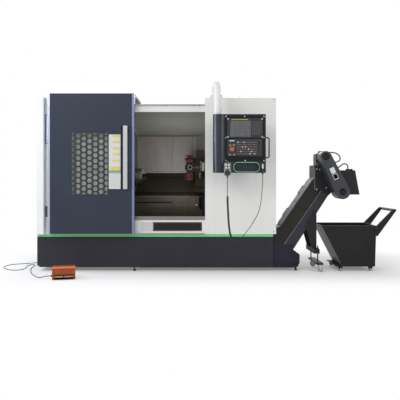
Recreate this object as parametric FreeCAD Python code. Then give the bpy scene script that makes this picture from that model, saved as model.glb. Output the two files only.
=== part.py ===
import FreeCAD, Part
import math
import os

# A slant-bed turning lathe with a sliding door, a control pendant on an arm, a chip conveyor
# with a cart under its chute, and a double foot switch. Millimetres. X runs to the right along
# the front, Y to the back, Z up. The origin is on the floor, under the middle of the whole.

V = FreeCAD.Vector

# ---- main sizes of the machine
FRONT = -525.0              # plane of the enclosure's front
LEFT = -2037.0              # left end of base and enclosure
BASE_RIGHT = 643.0
REAR = 1125.0
BASE_BOTTOM = 45.0
BASE_TOP = 391.0
STRIP_TOP = 421.0           # top of the green strip, where the enclosures stand
ROOF = 1967.0
ENCLOSURE_RIGHT = 678.0
ENCLOSURE_REAR = 705.0
SHEET = 20.0                # folded edge depth of the enclosure panels
COLUMN = 92.0               # width of the proud corner column
COLUMN_DEPTH = 60.0

# ---- door opening and work chamber
OPENING_LEFT = -985.0
OPENING_RIGHT = -129.0
HEADER_BOTTOM = 1810.0
HEADER_TOP = 1893.0
SILL_TOP = 578.0
SILL_STRIP_TOP = 622.0
CHAMBER_LEFT = -1000.0
CHAMBER_RIGHT = 90.0
BACK_WALL = 400.0
BACK_WALL_TOP = 1609.0

# ---- slant bed: 45 degrees, its lower front edge at (BED_Y, BED_Z)
BED_Y = 75.0
BED_Z = 828.0
BED_SLOPE_LENGTH = 420.0
BED_LEFT = -1850.0
BED_RIGHT = 560.0
RAIL_HEIGHT = 30.0
RAIL_WIDTH = 45.0
RAIL_PLACES = (70.0, 350.0)

# ---- spindle, chuck and jaws
SPINDLE_Y = 25.0
SPINDLE_Z = 1078.0
SPINDLE_RADIUS = 70.0
SPINDLE_BORE = 26.0
RUNNING_GAP = 0.05
CHUCK_BACK = -978.0
CHUCK_FACE = -898.0
CHUCK_RADIUS = 102.0
JAW_COUNT = 3
JAW_WIDTH = 36.0
SLIDE_GAP = 0.3

# ---- turret
TURRET_Y = 125.0
TURRET_Z = 1190.0
TURRET_FACE = -357.0
TURRET_BACK = -262.0
STATION_COUNT = 8
TURRET_FLAT = 118.0         # from the axis to each flat
HOLDER_REACH = 157.0
SOCKET_BORE = 15.0

# ---- door
DOOR_LEFT = -1891.0
DOOR_RIGHT = -922.0
DOOR_FRONT = -625.0
DOOR_BACK = -545.3
DOOR_BOTTOM = 432.0
DOOR_TOP = 2004.0
DOOR_SKIN = 20.0
TRIM = 25.0                 # bright strip down each edge
HOOD_BOTTOM = 1976.0
HOOD_REAR = 65.0
WINDOW_X = (-1632.0, -1214.0)
WINDOW_Z = (867.0, 1568.0)
CELL_COLUMNS = 7
CELL_ROWS = 11
CELL_PITCH_X = 64.5
CELL_PITCH_Z = 62.9
CELL_WIDTH = 54.0           # across the corners of one hexagonal hole
HANDLE_X = (-1043.0, -996.0)
HANDLE_Z = (934.0, 1640.0)
RAIL_FRONT = -545.0

# ---- pendant and its arm
ARM_X = 1.0
ARM_Y = -810.0
ARM_RADIUS = 34.5
ARM_TOP = 2090.0
ARM_BASE_Y = -425.0
PENDANT_X = (-46.0, 522.0)
PENDANT_Z = (1112.0, 1743.0)
PENDANT_Y = (-870.0, -760.0)
PENDANT_COLUMN_RADIUS = 73.5
PANEL_FRONT = -882.0
SCREEN_X = (104.0, 488.0)
SCREEN_Z = (1489.0, 1698.0)
OPERATOR_X = (104.0, 481.0)
OPERATOR_Z = (1291.0, 1475.0)
POCKET_X = (176.0, 450.0)
POCKET_Z = (1123.0, 1222.0)
POCKET_DEPTH = 60.0
ESTOP_PLACE = (156.0, 1364.0)
BUTTON_PLACES = {
    "cycle_start_button": (138.0, 1405.0),
    "feed_hold_button": (176.0, 1409.0),
    "power_on_button": (135.0, 1307.0),
    "power_off_button": (179.0, 1307.0),
}
BUTTON_RADIUS = 9.0
KNOB_PLACES = {"feed_knob": (447.0, 1440.0), "speed_knob": (447.0, 1392.0)}
KNOB_RADIUS = 13.0
HANDWHEEL_X = (70.0, 142.0)
HANDWHEEL_Z = (1075.0, 1219.0)
DIAL_PLACE = (106.0, 1110.0)
DIAL_RADIUS = 33.0
CORD_Y = -903.0             # plane in which the pendant's cord hangs
CORD_RADIUS = 3.5
SLEEVE_RADIUS = 9.0

# ---- chip conveyor
CONVEYOR_Y = (-500.0, -200.0)
PAN_LEFT = -882.0
PAN_BOTTOM = 37.0
PAN_TOP = 300.0
PAN_WALL = 6.0
INCLINE_TOP = ((734.0, 508.0), (1112.0, 1053.0))
INCLINE_BOTTOM = ((876.0, 242.0), (1272.0, 855.0))
TAIL = ((905.0, 37.0), (930.0, 62.0), (950.0, 85.0), (950.0, 186.0))
HEAD_X = (1121.0, 1344.0)
HEAD_Z = (921.0, 1196.0)
GUARD_TOP = (1206.0, 1294.0, 61.0)
GUARD_BOTTOM = (1392.0, 905.0, 82.0)
GUARD_FRONT = -700.0
LEG_BEAM_Y = (-608.0, -132.0)
LEG_WHEEL_RADIUS = 33.0
LEG_WHEEL_X = 1168.0
FOOT_WHEEL_RADIUS = 24.0
FOOT_WHEEL_X = 898.0

# ---- chip cart
CART_Y = (-545.0, -45.0)
CART_RIM_X = (1187.0, 1816.0)
CART_FLOOR_X = (1428.0, 1800.0)
CART_RIM_Z = 516.0
CART_FLOOR_Z = 61.0
CART_WALL = 6.0
CART_WHEEL_RADIUS = 23.0
CART_WHEELS_X = (1408.0, 1750.0)
GRIP_X = 2022.0
GRIP_Z = 691.0
GRIP_RADIUS = 15.0

# ---- foot switch
SWITCH_PLACE = (-1614.0, -1019.7)      # the middle of the housing's floor
SWITCH_TURN = 13.7                     # degrees that it is turned on the floor
SWITCH_WIDTH = 236.0
SWITCH_FRONT = -62.0                   # from the middle to the hood's front, before it is turned
SWITCH_BACK = 62.0
SWITCH_TOP = 134.0
SWITCH_OPENING = 54.0                  # height of the opening for the two treads
PEDAL_PLACES = {"pedal_left": (-92.0, -6.0), "pedal_right": (6.0, 92.0)}
PEDAL_PIVOT = (34.0, 26.0)

nodes = {}


def block(x, y, z):
    """Box between two limits on each axis."""
    return Part.makeBox(x[1] - x[0], y[1] - y[0], z[1] - z[0], V(x[0], y[0], z[0]))


def rod(start, end, radius):
    """Round bar between two points."""
    along = V(*end) - V(*start)
    return Part.makeCylinder(radius, along.Length, V(*start), along)


def ring(start, end, outer, inner):
    """Round tube between two points."""
    return rod(start, end, outer).cut(rod(start, end, inner))


def outline(corners):
    """Flat face inside a closed run of corners."""
    return Part.Face(Part.makePolygon([V(*corner) for corner in corners] + [V(*corners[0])]))


def side_plate(corners, y):
    """Plate with an outline in X and Z, between two values of Y."""
    return outline([(x, y[0], z) for x, z in corners]).extrude(V(0, y[1] - y[0], 0))


def cross_plate(corners, x):
    """Bar with a section in Y and Z, between two values of X."""
    return outline([(x[0], y, z) for y, z in corners]).extrude(V(x[1] - x[0], 0, 0))


def flat_plate(corners, z):
    """Plate with an outline in X and Y, between two values of Z."""
    return outline([(x, y, z[0]) for x, y in corners]).extrude(V(0, 0, z[1] - z[0]))


def rounded(shape, radius, direction):
    """Shape with its straight edges along one direction rounded."""
    chosen = []
    for edge in shape.Edges:
        if isinstance(edge.Curve, Part.Line) and edge.Curve.Direction.cross(direction).Length < 1e-6:
            chosen.append(edge)
    return shape.makeFillet(radius, chosen)


def stadium(x, z, y):
    """Upright slab with half-round ends, between limits on each axis."""
    radius = (z[1] - z[0]) / 2
    return rounded(block(x, y, z), radius * 0.999, V(0, 1, 0))


def fused(shapes):
    """One solid from several that touch or overlap."""
    first, rest = shapes[0], shapes[1:]
    return first.fuse(rest).removeSplitter() if rest else first


def group(shapes):
    """Separate solids kept together in one node."""
    return Part.makeCompound(shapes)


def route_edges(points, share):
    """Straight runs joined by tangent arcs, each as large as its two runs allow."""
    corners = [V(*point) for point in points]
    edges = []
    radii = []
    start = corners[0]
    for before, corner, after in zip(corners, corners[1:], corners[2:]):
        into = corner - before
        out = after - corner
        setback = share * min(into.Length, out.Length)
        turn = into.getAngle(out)
        into.normalize()
        out.normalize()
        radius = setback / math.tan(turn / 2)
        inward = out - into
        inward.normalize()
        centre = corner + inward * (radius / math.cos(turn / 2))
        arc_start = corner - into * setback
        arc_end = corner + out * setback
        edges.append(Part.LineSegment(start, arc_start).toShape())
        edges.append(Part.Arc(arc_start, centre - inward * radius, arc_end).toShape())
        radii.append(radius)
        start = arc_end
    edges.append(Part.LineSegment(start, corners[-1]).toShape())
    return edges, radii


def cord(name, points, radius, share=0.45):
    """Round tube along a route; prints its smallest radius and its volume against the length."""
    edges, radii = route_edges(points, share)
    path = Part.Wire(edges)
    along = V(*points[1]) - V(*points[0])
    section = Part.Wire(Part.Circle(V(*points[0]), along, radius).toShape())
    tube = path.makePipeShell([section], True, False)
    ratio = tube.Volume / (math.pi * radius ** 2 * path.Length)
    print(name, "length", round(path.Length), "smallest radius", round(min(radii), 1),
          "volume ratio", round(ratio, 4))
    return tube


def slant(u, n):
    """Y and Z of a point u up the bed's slope and n out from its face."""
    half = math.sqrt(0.5)
    return BED_Y + (u - n) * half, BED_Z + (u + n) * half


def slant_block(x, u, n):
    """Block square to the bed's slope."""
    return cross_plate([slant(u[0], n[0]), slant(u[1], n[0]), slant(u[1], n[1]), slant(u[0], n[1])], x)


def turned(shape, angle):
    """Shape turned about the turret's axis."""
    copy = shape.copy()
    copy.rotate(V(0, TURRET_Y, TURRET_Z), V(1, 0, 0), angle)
    return copy


# ---- base, bed and enclosures
strip_ring = block((LEFT, BASE_RIGHT), (FRONT, REAR), (BASE_TOP, STRIP_TOP)).cut(
    block((LEFT + SHEET, BASE_RIGHT - SHEET), (FRONT + SHEET, REAR - SHEET), (BASE_TOP - 1, STRIP_TOP + 1)))
nodes["green_strip"] = strip_ring


def base_frame():
    """Welded base with a tunnel for the conveyor pan, open to the right and to the chamber."""
    side_gap = 5.0
    body = block((LEFT, BASE_RIGHT), (FRONT, REAR), (BASE_BOTTOM, BASE_TOP))
    tunnel = block((PAN_LEFT - side_gap, BASE_RIGHT + 1),
                   (CONVEYOR_Y[0] - side_gap, CONVEYOR_Y[1] + side_gap),
                   (BASE_BOTTOM - 1, BASE_TOP + 1))
    seam_x = LEFT + 42.0
    seam = block((seam_x, seam_x + 4), (FRONT - 1, FRONT + 3), (BASE_BOTTOM - 1, BASE_TOP + 1))
    corner_notch = block((LEFT - 1, LEFT + 22), (FRONT - 1, FRONT + 80),
                         (BASE_BOTTOM - 1, BASE_BOTTOM + 14))
    return body.cut([tunnel, seam, corner_notch])


def levelling_foot(x, y, radius=55.0):
    """Round pad with its stud and lock nut."""
    pad = Part.makeCone(radius, radius * 0.76, 20, V(x, y, 0))
    stud = rod((x, y, 20), (x, y, BASE_BOTTOM), radius * 0.22)
    nut_radius = radius * 0.44
    nut = Part.Face(Part.makePolygon([
        V(x + nut_radius * math.cos(i * math.pi / 3), y + nut_radius * math.sin(i * math.pi / 3), 31)
        for i in range(7)])).extrude(V(0, 0, BASE_BOTTOM - 31))
    return fused([pad, stud, nut])


nodes["base_frame"] = base_frame()
small_jack = levelling_foot(-935, -490, 20.0)
nodes["levelling_feet"] = group([small_jack] + [levelling_foot(x, y) for x, y in [
    (-1930, -140), (-1010, -140), (-400, 0), (560, 0),
    (-1930, 1065), (-970, 1065), (-200, 1065), (560, 1065)]])


def slant_bed():
    """Cast bed with a 45 degree face, two guide rails along it and feet on the base."""
    face_bottom = slant(0, 0)
    face_top = slant(BED_SLOPE_LENGTH, 0)
    section = [(BED_Y, BASE_TOP), face_bottom, face_top, (face_top[0] + 98, face_top[1]), (640, BASE_TOP)]
    bed = cross_plate(section, (BED_LEFT, BED_RIGHT))
    rails = [slant_block((CHAMBER_LEFT + 12, CHAMBER_RIGHT - 12), (u - RAIL_WIDTH / 2, u + RAIL_WIDTH / 2),
                         (0, RAIL_HEIGHT)) for u in RAIL_PLACES]
    return fused([bed] + rails)


nodes["slant_bed"] = slant_bed()
bed_passage = cross_plate([(BED_Y, BASE_TOP), slant(0, 0), slant(BED_SLOPE_LENGTH, 0),
                           (slant(BED_SLOPE_LENGTH, 0)[0] + 98, slant(BED_SLOPE_LENGTH, 0)[1]),
                           (640, BASE_TOP)], (BED_LEFT, BED_RIGHT))


def left_enclosure():
    """Sheet housing round the headstock, with a proud front column and a hole for bar in its end."""
    nose_radius = 118.0
    flare_top = 671.0
    outer = block((LEFT, CHAMBER_LEFT), (FRONT, ENCLOSURE_REAR), (BASE_TOP, ROOF))
    inner = block((LEFT + SHEET, CHAMBER_LEFT - SHEET), (FRONT + SHEET, ENCLOSURE_REAR - SHEET),
                  (BASE_TOP - 1, ROOF - SHEET))
    column = rounded(block((LEFT, LEFT + COLUMN), (FRONT - COLUMN_DEPTH, FRONT + 14), (STRIP_TOP, ROOF)),
                     12, V(0, 0, 1))
    step = block((LEFT - 1, LEFT + 10), (FRONT - COLUMN_DEPTH - 1, FRONT), (flare_top, ROOF + 1))
    spindle_hole = rod((CHAMBER_LEFT - SHEET - 1, SPINDLE_Y, SPINDLE_Z),
                       (CHAMBER_LEFT + 1, SPINDLE_Y, SPINDLE_Z), nose_radius)
    shell = outer.cut(inner).fuse(column.cut(step))
    bar_hole = rod((LEFT - 1, SPINDLE_Y, SPINDLE_Z), (LEFT + SHEET + 1, SPINDLE_Y, SPINDLE_Z), 55)
    access = block((LEFT + 97, LEFT + 136), (FRONT - 1, FRONT + 6), (1455, 1770))
    return shell.cut([strip_ring, bed_passage, spindle_hole, bar_hole, access]).removeSplitter()


def right_enclosure():
    """Sheet housing right of the opening; its inner wall closes the chamber."""
    inner_wall = 12.0
    outer = block((OPENING_RIGHT, ENCLOSURE_RIGHT), (FRONT, ENCLOSURE_REAR), (BASE_TOP, ROOF))
    chamber_end = block((OPENING_RIGHT - 1, CHAMBER_RIGHT), (FRONT + SHEET, ENCLOSURE_REAR + 1),
                        (BASE_TOP - 1, HEADER_TOP - SHEET))
    service_space = block((CHAMBER_RIGHT + inner_wall, ENCLOSURE_RIGHT - SHEET),
                          (FRONT + SHEET, ENCLOSURE_REAR - SHEET), (BASE_TOP - 1, ROOF - SHEET))
    under_overhang = block((BASE_RIGHT, ENCLOSURE_RIGHT + 1), (FRONT - 1, ENCLOSURE_REAR + 1),
                           (BASE_TOP - 1, STRIP_TOP))
    roof_cap = rounded(block((478, 582), (-300, -180), (ROOF, ROOF + 34)), 10, V(0, 0, 1))
    shell = outer.cut([chamber_end, service_space, under_overhang, strip_ring, bed_passage])
    return fused([shell, roof_cap])


def front_frame():
    """Header with the roof behind it, left jamb and sill panel, folded as one frame."""
    opening_x = (CHAMBER_LEFT, OPENING_RIGHT)
    roof = cross_plate([(FRONT, HEADER_BOTTOM), (FRONT + SHEET, HEADER_BOTTOM),
                        (FRONT + SHEET, HEADER_TOP - SHEET),
                        (ENCLOSURE_REAR - SHEET, HEADER_TOP - SHEET), (ENCLOSURE_REAR - SHEET, 1790),
                        (ENCLOSURE_REAR, 1790), (ENCLOSURE_REAR, HEADER_TOP), (FRONT, HEADER_TOP)], opening_x)
    jamb = block((CHAMBER_LEFT, OPENING_LEFT), (FRONT, FRONT + SHEET), (STRIP_TOP, HEADER_TOP))
    sill = block(opening_x, (FRONT, FRONT + SHEET), (STRIP_TOP, SILL_TOP))
    return fused([roof, jamb, sill])


def rear_cabinet():
    """Electrical cabinet across the back, with three door leaves and an air outlet in each."""
    x = (-1860.0, 500.0)
    top = 1785.0
    leaf_depth = 20.0
    body = block(x, (ENCLOSURE_REAR, REAR - leaf_depth), (BASE_TOP, top)).cut(strip_ring)
    leaf_width = (x[1] - x[0]) / 3
    parts = [body]
    for i in range(3):
        left = x[0] + i * leaf_width + 6
        leaf = block((left, left + leaf_width - 12), (REAR - leaf_depth, REAR - 2),
                     (STRIP_TOP + 20, top - 20))
        middle = left + leaf_width / 2
        slots = [block((middle - 90, middle + 90), (REAR - 12, REAR + 1), (z, z + 8))
                 for z in range(620, 740, 20)]
        latch = block((left + 20, left + 44), (REAR - 2, REAR), (1050, 1190))
        parts.append(fused([leaf.cut(slots), latch]))
    return fused(parts)


nodes["left_enclosure"] = left_enclosure()
nodes["right_enclosure"] = right_enclosure()
nodes["front_frame"] = front_frame()
nodes["rear_cabinet"] = rear_cabinet()


# ---- work chamber
def chamber_liner():
    """Sloping ceiling and ribbed back wall with the stepped corner cover, folded in one sheet."""
    sheet = 8.0
    chamber_x = (CHAMBER_LEFT, CHAMBER_RIGHT)
    wall_foot = slant(BED_SLOPE_LENGTH, 0)[1]
    liner = cross_plate([(FRONT + SHEET, HEADER_BOTTOM), (BACK_WALL, BACK_WALL_TOP), (BACK_WALL, wall_foot),
                         (BACK_WALL + sheet, wall_foot), (BACK_WALL + sheet, BACK_WALL_TOP + sheet),
                         (FRONT + SHEET, HEADER_BOTTOM + sheet)], chamber_x)
    corner = block((-237, CHAMBER_RIGHT), (BACK_WALL - 15, BACK_WALL), (wall_foot, BACK_WALL_TOP))
    step = block((-238, -200), (BACK_WALL - 16, BACK_WALL - 8), (1432, BACK_WALL_TOP + 1))
    ribs = [block((x, x + 6), (BACK_WALL - 4, BACK_WALL), (wall_foot, BACK_WALL_TOP))
            for x in range(-870, -300, 142)]
    return fused([liner, corner.cut(step)] + ribs)


def bed_guard():
    """Upright guard in front of the bed, its drip slot, and the slope into the conveyor."""
    top = BED_Z + 8
    chamber_x = (CHAMBER_LEFT, CHAMBER_RIGHT)
    section = [(CONVEYOR_Y[1] + 5, BASE_TOP), (BED_Y, BASE_TOP), (BED_Y, top), (BED_Y - 22, top),
               (BED_Y - 22, top - 10), (BED_Y - 15, top - 10), (BED_Y - 15, 520)]
    slot = block((CHAMBER_LEFT + 60, -560), (BED_Y - 30, BED_Y - 7), (754, 764))
    return cross_plate(section, chamber_x).cut(slot)


def sill_strip():
    """Stainless folded edge on the sill, with its inner apron."""
    apron_back = FRONT + SHEET + 8
    section = [(FRONT, SILL_TOP), (FRONT + SHEET, SILL_TOP), (FRONT + SHEET, STRIP_TOP),
               (apron_back, STRIP_TOP), (apron_back, SILL_STRIP_TOP - 8),
               (FRONT + 55, SILL_STRIP_TOP - 8), (FRONT + 55, SILL_STRIP_TOP), (FRONT, SILL_STRIP_TOP)]
    return cross_plate(section, (OPENING_LEFT, OPENING_RIGHT))


nodes["chamber_liner"] = chamber_liner()
nodes["bed_guard"] = bed_guard()
nodes["sill_strip"] = sill_strip()


# ---- headstock, spindle, chuck
def headstock():
    """Cast housing on the bed with the bored nose that reaches through the chamber wall."""
    right = CHAMBER_LEFT - SHEET - 2
    body = slant_block((BED_LEFT, right), (-20, 320), (0, 340))
    body = rounded(body, 30, V(1, 0, 0))
    nose = rod((right - 10, SPINDLE_Y, SPINDLE_Z), (CHUCK_BACK - 4, SPINDLE_Y, SPINDLE_Z), 112)
    bore = rod((BED_LEFT - 1, SPINDLE_Y, SPINDLE_Z), (CHUCK_BACK, SPINDLE_Y, SPINDLE_Z),
               SPINDLE_RADIUS + RUNNING_GAP)
    foot = slant_block((BED_LEFT, right), (20, 280), (0, 60))
    return fused([body, foot, nose]).cut(bore)


def spindle():
    """Hollow spindle with its drive pulley at the left end."""
    back = BED_LEFT - 90
    axis = [(x, SPINDLE_Y, SPINDLE_Z) for x in (back, BED_LEFT - 12, CHUCK_BACK)]
    shaft = rod(axis[0], axis[2], SPINDLE_RADIUS)
    pulley = rod(axis[0], axis[1], 120)
    bore = rod((back - 1, SPINDLE_Y, SPINDLE_Z), (CHUCK_BACK + 1, SPINDLE_Y, SPINDLE_Z), SPINDLE_BORE)
    return fused([shaft, pulley]).cut(bore)


def about_spindle(shape, angle):
    copy = shape.copy()
    copy.rotate(V(0, SPINDLE_Y, SPINDLE_Z), V(1, 0, 0), angle)
    return copy


def chuck_body():
    """Turned chuck body: chamfered rim, through hole and a radial slot for each jaw."""
    depth = 22.0
    chamfer = 6.0
    profile = [(CHUCK_BACK, 30), (CHUCK_FACE, 30), (CHUCK_FACE, CHUCK_RADIUS - chamfer),
               (CHUCK_FACE - chamfer, CHUCK_RADIUS), (CHUCK_BACK + 14, CHUCK_RADIUS),
               (CHUCK_BACK + 14, CHUCK_RADIUS - 8), (CHUCK_BACK, CHUCK_RADIUS - 8)]
    face = outline([(x, SPINDLE_Y, SPINDLE_Z + r) for x, r in profile])
    body = face.revolve(V(0, SPINDLE_Y, SPINDLE_Z), V(1, 0, 0), 360)
    width = JAW_WIDTH / 2 + SLIDE_GAP
    slot = block((CHUCK_FACE - depth, CHUCK_FACE + 1), (SPINDLE_Y - width, SPINDLE_Y + width),
                 (SPINDLE_Z + 20, SPINDLE_Z + CHUCK_RADIUS + 1))
    return body.cut([about_spindle(slot, i * 360 / JAW_COUNT) for i in range(JAW_COUNT)])


def jaw(index):
    """Stepped jaw with its foot in the chuck's slot."""
    foot = CHUCK_FACE - 22 + SLIDE_GAP
    steps = [(foot, 36), (CHUCK_FACE + 45, 36), (CHUCK_FACE + 45, 58), (CHUCK_FACE + 28, 58),
             (CHUCK_FACE + 28, 78),
             (CHUCK_FACE + 12, 78), (CHUCK_FACE + 12, 96), (foot, 96)]
    profile = outline([(x, SPINDLE_Y - JAW_WIDTH / 2, SPINDLE_Z + r) for x, r in steps])
    body = profile.extrude(V(0, JAW_WIDTH, 0))
    bolts = [rod((CHUCK_FACE - 10, SPINDLE_Y, SPINDLE_Z + r),
                 (CHUCK_FACE + 46, SPINDLE_Y, SPINDLE_Z + r), 6) for r in (66, 87)]
    return about_spindle(body.cut(bolts), index * 360 / JAW_COUNT)


nodes["headstock"] = headstock()
nodes["spindle"] = spindle()
nodes["chuck_body"] = chuck_body()
for number in range(JAW_COUNT):
    nodes["jaw_%d" % (number + 1)] = jaw(number)


# ---- carriage and turret
CARRIAGE_X = (-250.0, 45.0)


def saddle():
    """Carriage plate on four guide blocks that grip the two rails."""
    plate = slant_block(CARRIAGE_X, (5, 425), (RAIL_HEIGHT + SLIDE_GAP, 80))
    parts = [plate]
    for u in RAIL_PLACES:
        for x in (CARRIAGE_X[0] + 12, CARRIAGE_X[1] - 92):
            grip = slant_block((x, x + 80), (u - 42, u + 42), (6, RAIL_HEIGHT + 2))
            rail_space = slant_block((x - 1, x + 81),
                                     (u - RAIL_WIDTH / 2 - SLIDE_GAP, u + RAIL_WIDTH / 2 + SLIDE_GAP),
                                     (0, RAIL_HEIGHT + SLIDE_GAP))
            parts.append(grip.cut(rail_space))
    return fused(parts)


def cross_slide():
    """Cross slide with the turret's housing and indexing motor."""
    slide = slant_block((CARRIAGE_X[0] + 5, CARRIAGE_X[1] - 10), (60, 400), (80 + SLIDE_GAP, 130))
    housing = rounded(slant_block((TURRET_BACK + 4, -150), (203, 379), (128, 312)), 22, V(1, 0, 0))
    neck = slant_block((TURRET_BACK + 4, -150), (215, 367), (80 + SLIDE_GAP, 180))
    motor = rod((-152, TURRET_Y, TURRET_Z), (-30, TURRET_Y, TURRET_Z), 48)
    collar = rod((-152, TURRET_Y, TURRET_Z), (-128, TURRET_Y, TURRET_Z), 62)
    bore = rod((TURRET_BACK, TURRET_Y, TURRET_Z), (TURRET_BACK + 68, TURRET_Y, TURRET_Z), 40 + RUNNING_GAP)
    return fused([slide, housing, neck, motor, collar]).cut(bore)


def turret_disc():
    """Eight-sided tool disc with a bored hub, rim chamfers and a ringed socket facing the front."""
    corner = TURRET_FLAT / math.cos(math.pi / STATION_COUNT)
    sides = [(TURRET_Y + corner * math.cos((i + 0.5) * 2 * math.pi / STATION_COUNT),
              TURRET_Z + corner * math.sin((i + 0.5) * 2 * math.pi / STATION_COUNT))
             for i in range(STATION_COUNT)]
    disc = cross_plate(sides, (TURRET_FACE, TURRET_BACK))
    face_cone = Part.makeCone(corner - 16, corner + 14, 30, V(TURRET_FACE, TURRET_Y, TURRET_Z), V(1, 0, 0))
    rest = rod((TURRET_FACE + 30, TURRET_Y, TURRET_Z), (TURRET_BACK + 1, TURRET_Y, TURRET_Z), corner + 14)
    disc = disc.common(fused([face_cone, rest]))
    cap = Part.makeCone(34, 42, 14, V(TURRET_FACE - 12, TURRET_Y, TURRET_Z), V(1, 0, 0))
    hub = rod((TURRET_BACK - 5, TURRET_Y, TURRET_Z), (TURRET_BACK + 64, TURRET_Y, TURRET_Z), 40)
    middle = (TURRET_FACE + TURRET_BACK) / 2
    front_flat = TURRET_Y - TURRET_FLAT
    ring_boss = rod((middle, front_flat + 4, TURRET_Z), (middle, front_flat - 9, TURRET_Z), 31)
    socket = rod((middle, front_flat + 50, TURRET_Z), (middle, front_flat - 10, TURRET_Z), SOCKET_BORE)
    return fused([disc, cap, hub, ring_boss]).cut(socket)


def tool_holder():
    """Wedge-clamped block on the top flat, with the tool it holds pointing to the chuck."""
    base = TURRET_Z + TURRET_FLAT
    top = TURRET_Z + HOLDER_REACH
    section = [(TURRET_Y - 32, base), (TURRET_Y + 32, base), (TURRET_Y + 32, base + 12),
               (TURRET_Y + 24, top),
               (TURRET_Y - 24, top), (TURRET_Y - 32, base + 12)]
    body = cross_plate(section, (TURRET_FACE + 12, TURRET_BACK - 14))
    seat = block((TURRET_FACE, TURRET_BACK), (TURRET_Y - 10, TURRET_Y + 10), (top - 14, top + 1))
    shank = side_plate([(TURRET_FACE - 16, top - 12), (TURRET_BACK - 20, top - 12),
                        (TURRET_BACK - 20, top - 2),
                        (TURRET_FACE - 12, top - 2), (TURRET_FACE - 22,
                                                      top - 5)], (TURRET_Y - 9, TURRET_Y + 9))
    wedge = block((TURRET_FACE + 20, TURRET_BACK - 30), (TURRET_Y - 10, TURRET_Y - 9), (top - 14, top - 2))
    floor = block((TURRET_FACE + 12, TURRET_BACK - 20), (TURRET_Y - 9, TURRET_Y + 9), (top - 14, top - 12))
    return fused([body.cut(seat), shank, wedge, floor])


nodes["saddle"] = saddle()
nodes["cross_slide"] = cross_slide()
nodes["turret_disc"] = turret_disc()
nodes["tool_holders"] = group([turned(tool_holder(), i * 360 / STATION_COUNT)
                               for i in range(STATION_COUNT) if i != 2])


# ---- sliding door
def door_shell():
    """Folded door pan with the window cut-out, the handle's finger groove and the roof hood."""
    left = DOOR_LEFT + TRIM
    right = DOOR_RIGHT - TRIM
    pan = block((left, right), (DOOR_FRONT, DOOR_BACK), (DOOR_BOTTOM, DOOR_TOP))
    inside = block((left + DOOR_SKIN, right - DOOR_SKIN), (DOOR_FRONT + DOOR_SKIN, DOOR_BACK + 1),
                   (DOOR_BOTTOM + DOOR_SKIN, HOOD_BOTTOM))
    hood = block((DOOR_LEFT, DOOR_RIGHT), (DOOR_BACK, HOOD_REAR), (HOOD_BOTTOM, DOOR_TOP))
    window = block(WINDOW_X, (DOOR_FRONT - 1, DOOR_FRONT + DOOR_SKIN + 1), WINDOW_Z)
    groove = block((HANDLE_X[0] - 25, HANDLE_X[0] + 22), (DOOR_FRONT - 1, DOOR_FRONT + 14), HANDLE_Z)
    hangers = [block((x - 30, x + 30), (DOOR_FRONT + DOOR_SKIN - 1, FRONT - 5),
                     (HEADER_TOP + 0.5, HEADER_TOP + 36))
               for x in (left + 130, right - 130)]
    return fused([pan.cut([inside, window, groove]), hood] + hangers)


def door_trims():
    """Bright folded strip down each upright edge of the door."""
    strips = []
    for x in (DOOR_LEFT, DOOR_RIGHT - TRIM):
        strip = block((x, x + TRIM), (DOOR_FRONT - 3, DOOR_BACK), (DOOR_BOTTOM, DOOR_TOP))
        strips.append(rounded(strip, 2.5, V(0, 0, 1)))
    return group(strips)


def honeycomb():
    """Grille of staggered hexagonal holes, clipped to a plain rim."""
    rim = 8.0
    middle_x = sum(WINDOW_X) / 2
    middle_z = sum(WINDOW_Z) / 2
    plate_y = (DOOR_FRONT + 1, DOOR_FRONT + 5)
    plate = block(WINDOW_X, plate_y, WINDOW_Z)
    inside = block((WINDOW_X[0] + rim, WINDOW_X[1] - rim), (plate_y[0] - 2, plate_y[1] + 2),
                   (WINDOW_Z[0] + rim, WINDOW_Z[1] - rim))
    holes = []
    for column in range(CELL_COLUMNS):
        x = middle_x + (column - (CELL_COLUMNS - 1) / 2) * CELL_PITCH_X
        shift = 0.5 if column % 2 else 0.0
        for row in range(CELL_ROWS + 1):
            z = middle_z + (row - CELL_ROWS / 2 + shift) * CELL_PITCH_Z
            corners = [(x + CELL_WIDTH / 2 * math.cos(i * math.pi / 3),
                        z + CELL_WIDTH / 2 * math.sin(i * math.pi / 3))
                       for i in range(6)]
            hole = side_plate(corners, (plate_y[0] - 1, plate_y[1] + 1)).common(inside)
            if hole.Volume > 1000:
                holes.append(hole)
    return plate.cut(holes)


def door_handle():
    """Full-height aluminium pull: one leg on the door, a flange over the finger groove."""
    leg = 9.0
    section = [(HANDLE_X[1], DOOR_FRONT), (HANDLE_X[1], DOOR_FRONT - 35), (HANDLE_X[0], DOOR_FRONT - 35),
               (HANDLE_X[0], DOOR_FRONT - 22), (HANDLE_X[0] + 4,
                                                DOOR_FRONT - 22), (HANDLE_X[0] + 4, DOOR_FRONT - 29),
               (HANDLE_X[1] - leg, DOOR_FRONT - 29), (HANDLE_X[1] - leg, DOOR_FRONT)]
    return flat_plate(section, HANDLE_Z)


nodes["door_shell"] = door_shell()
nodes["door_trims"] = door_trims()
nodes["door_honeycomb"] = honeycomb()
nodes["door_window"] = block(WINDOW_X, (DOOR_FRONT + 5, DOOR_FRONT + 13), WINDOW_Z)
nodes["door_handle"] = door_handle()
nodes["door_rails"] = group([block((DOOR_LEFT + TRIM + 20, OPENING_RIGHT - 6), (RAIL_FRONT, FRONT), z)
                             for z in ((HEADER_TOP - 10, HEADER_TOP), (STRIP_TOP, STRIP_TOP + 10))])


# ---- pendant arm and pendant
PIVOT_RADIUS = 20.0


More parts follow.
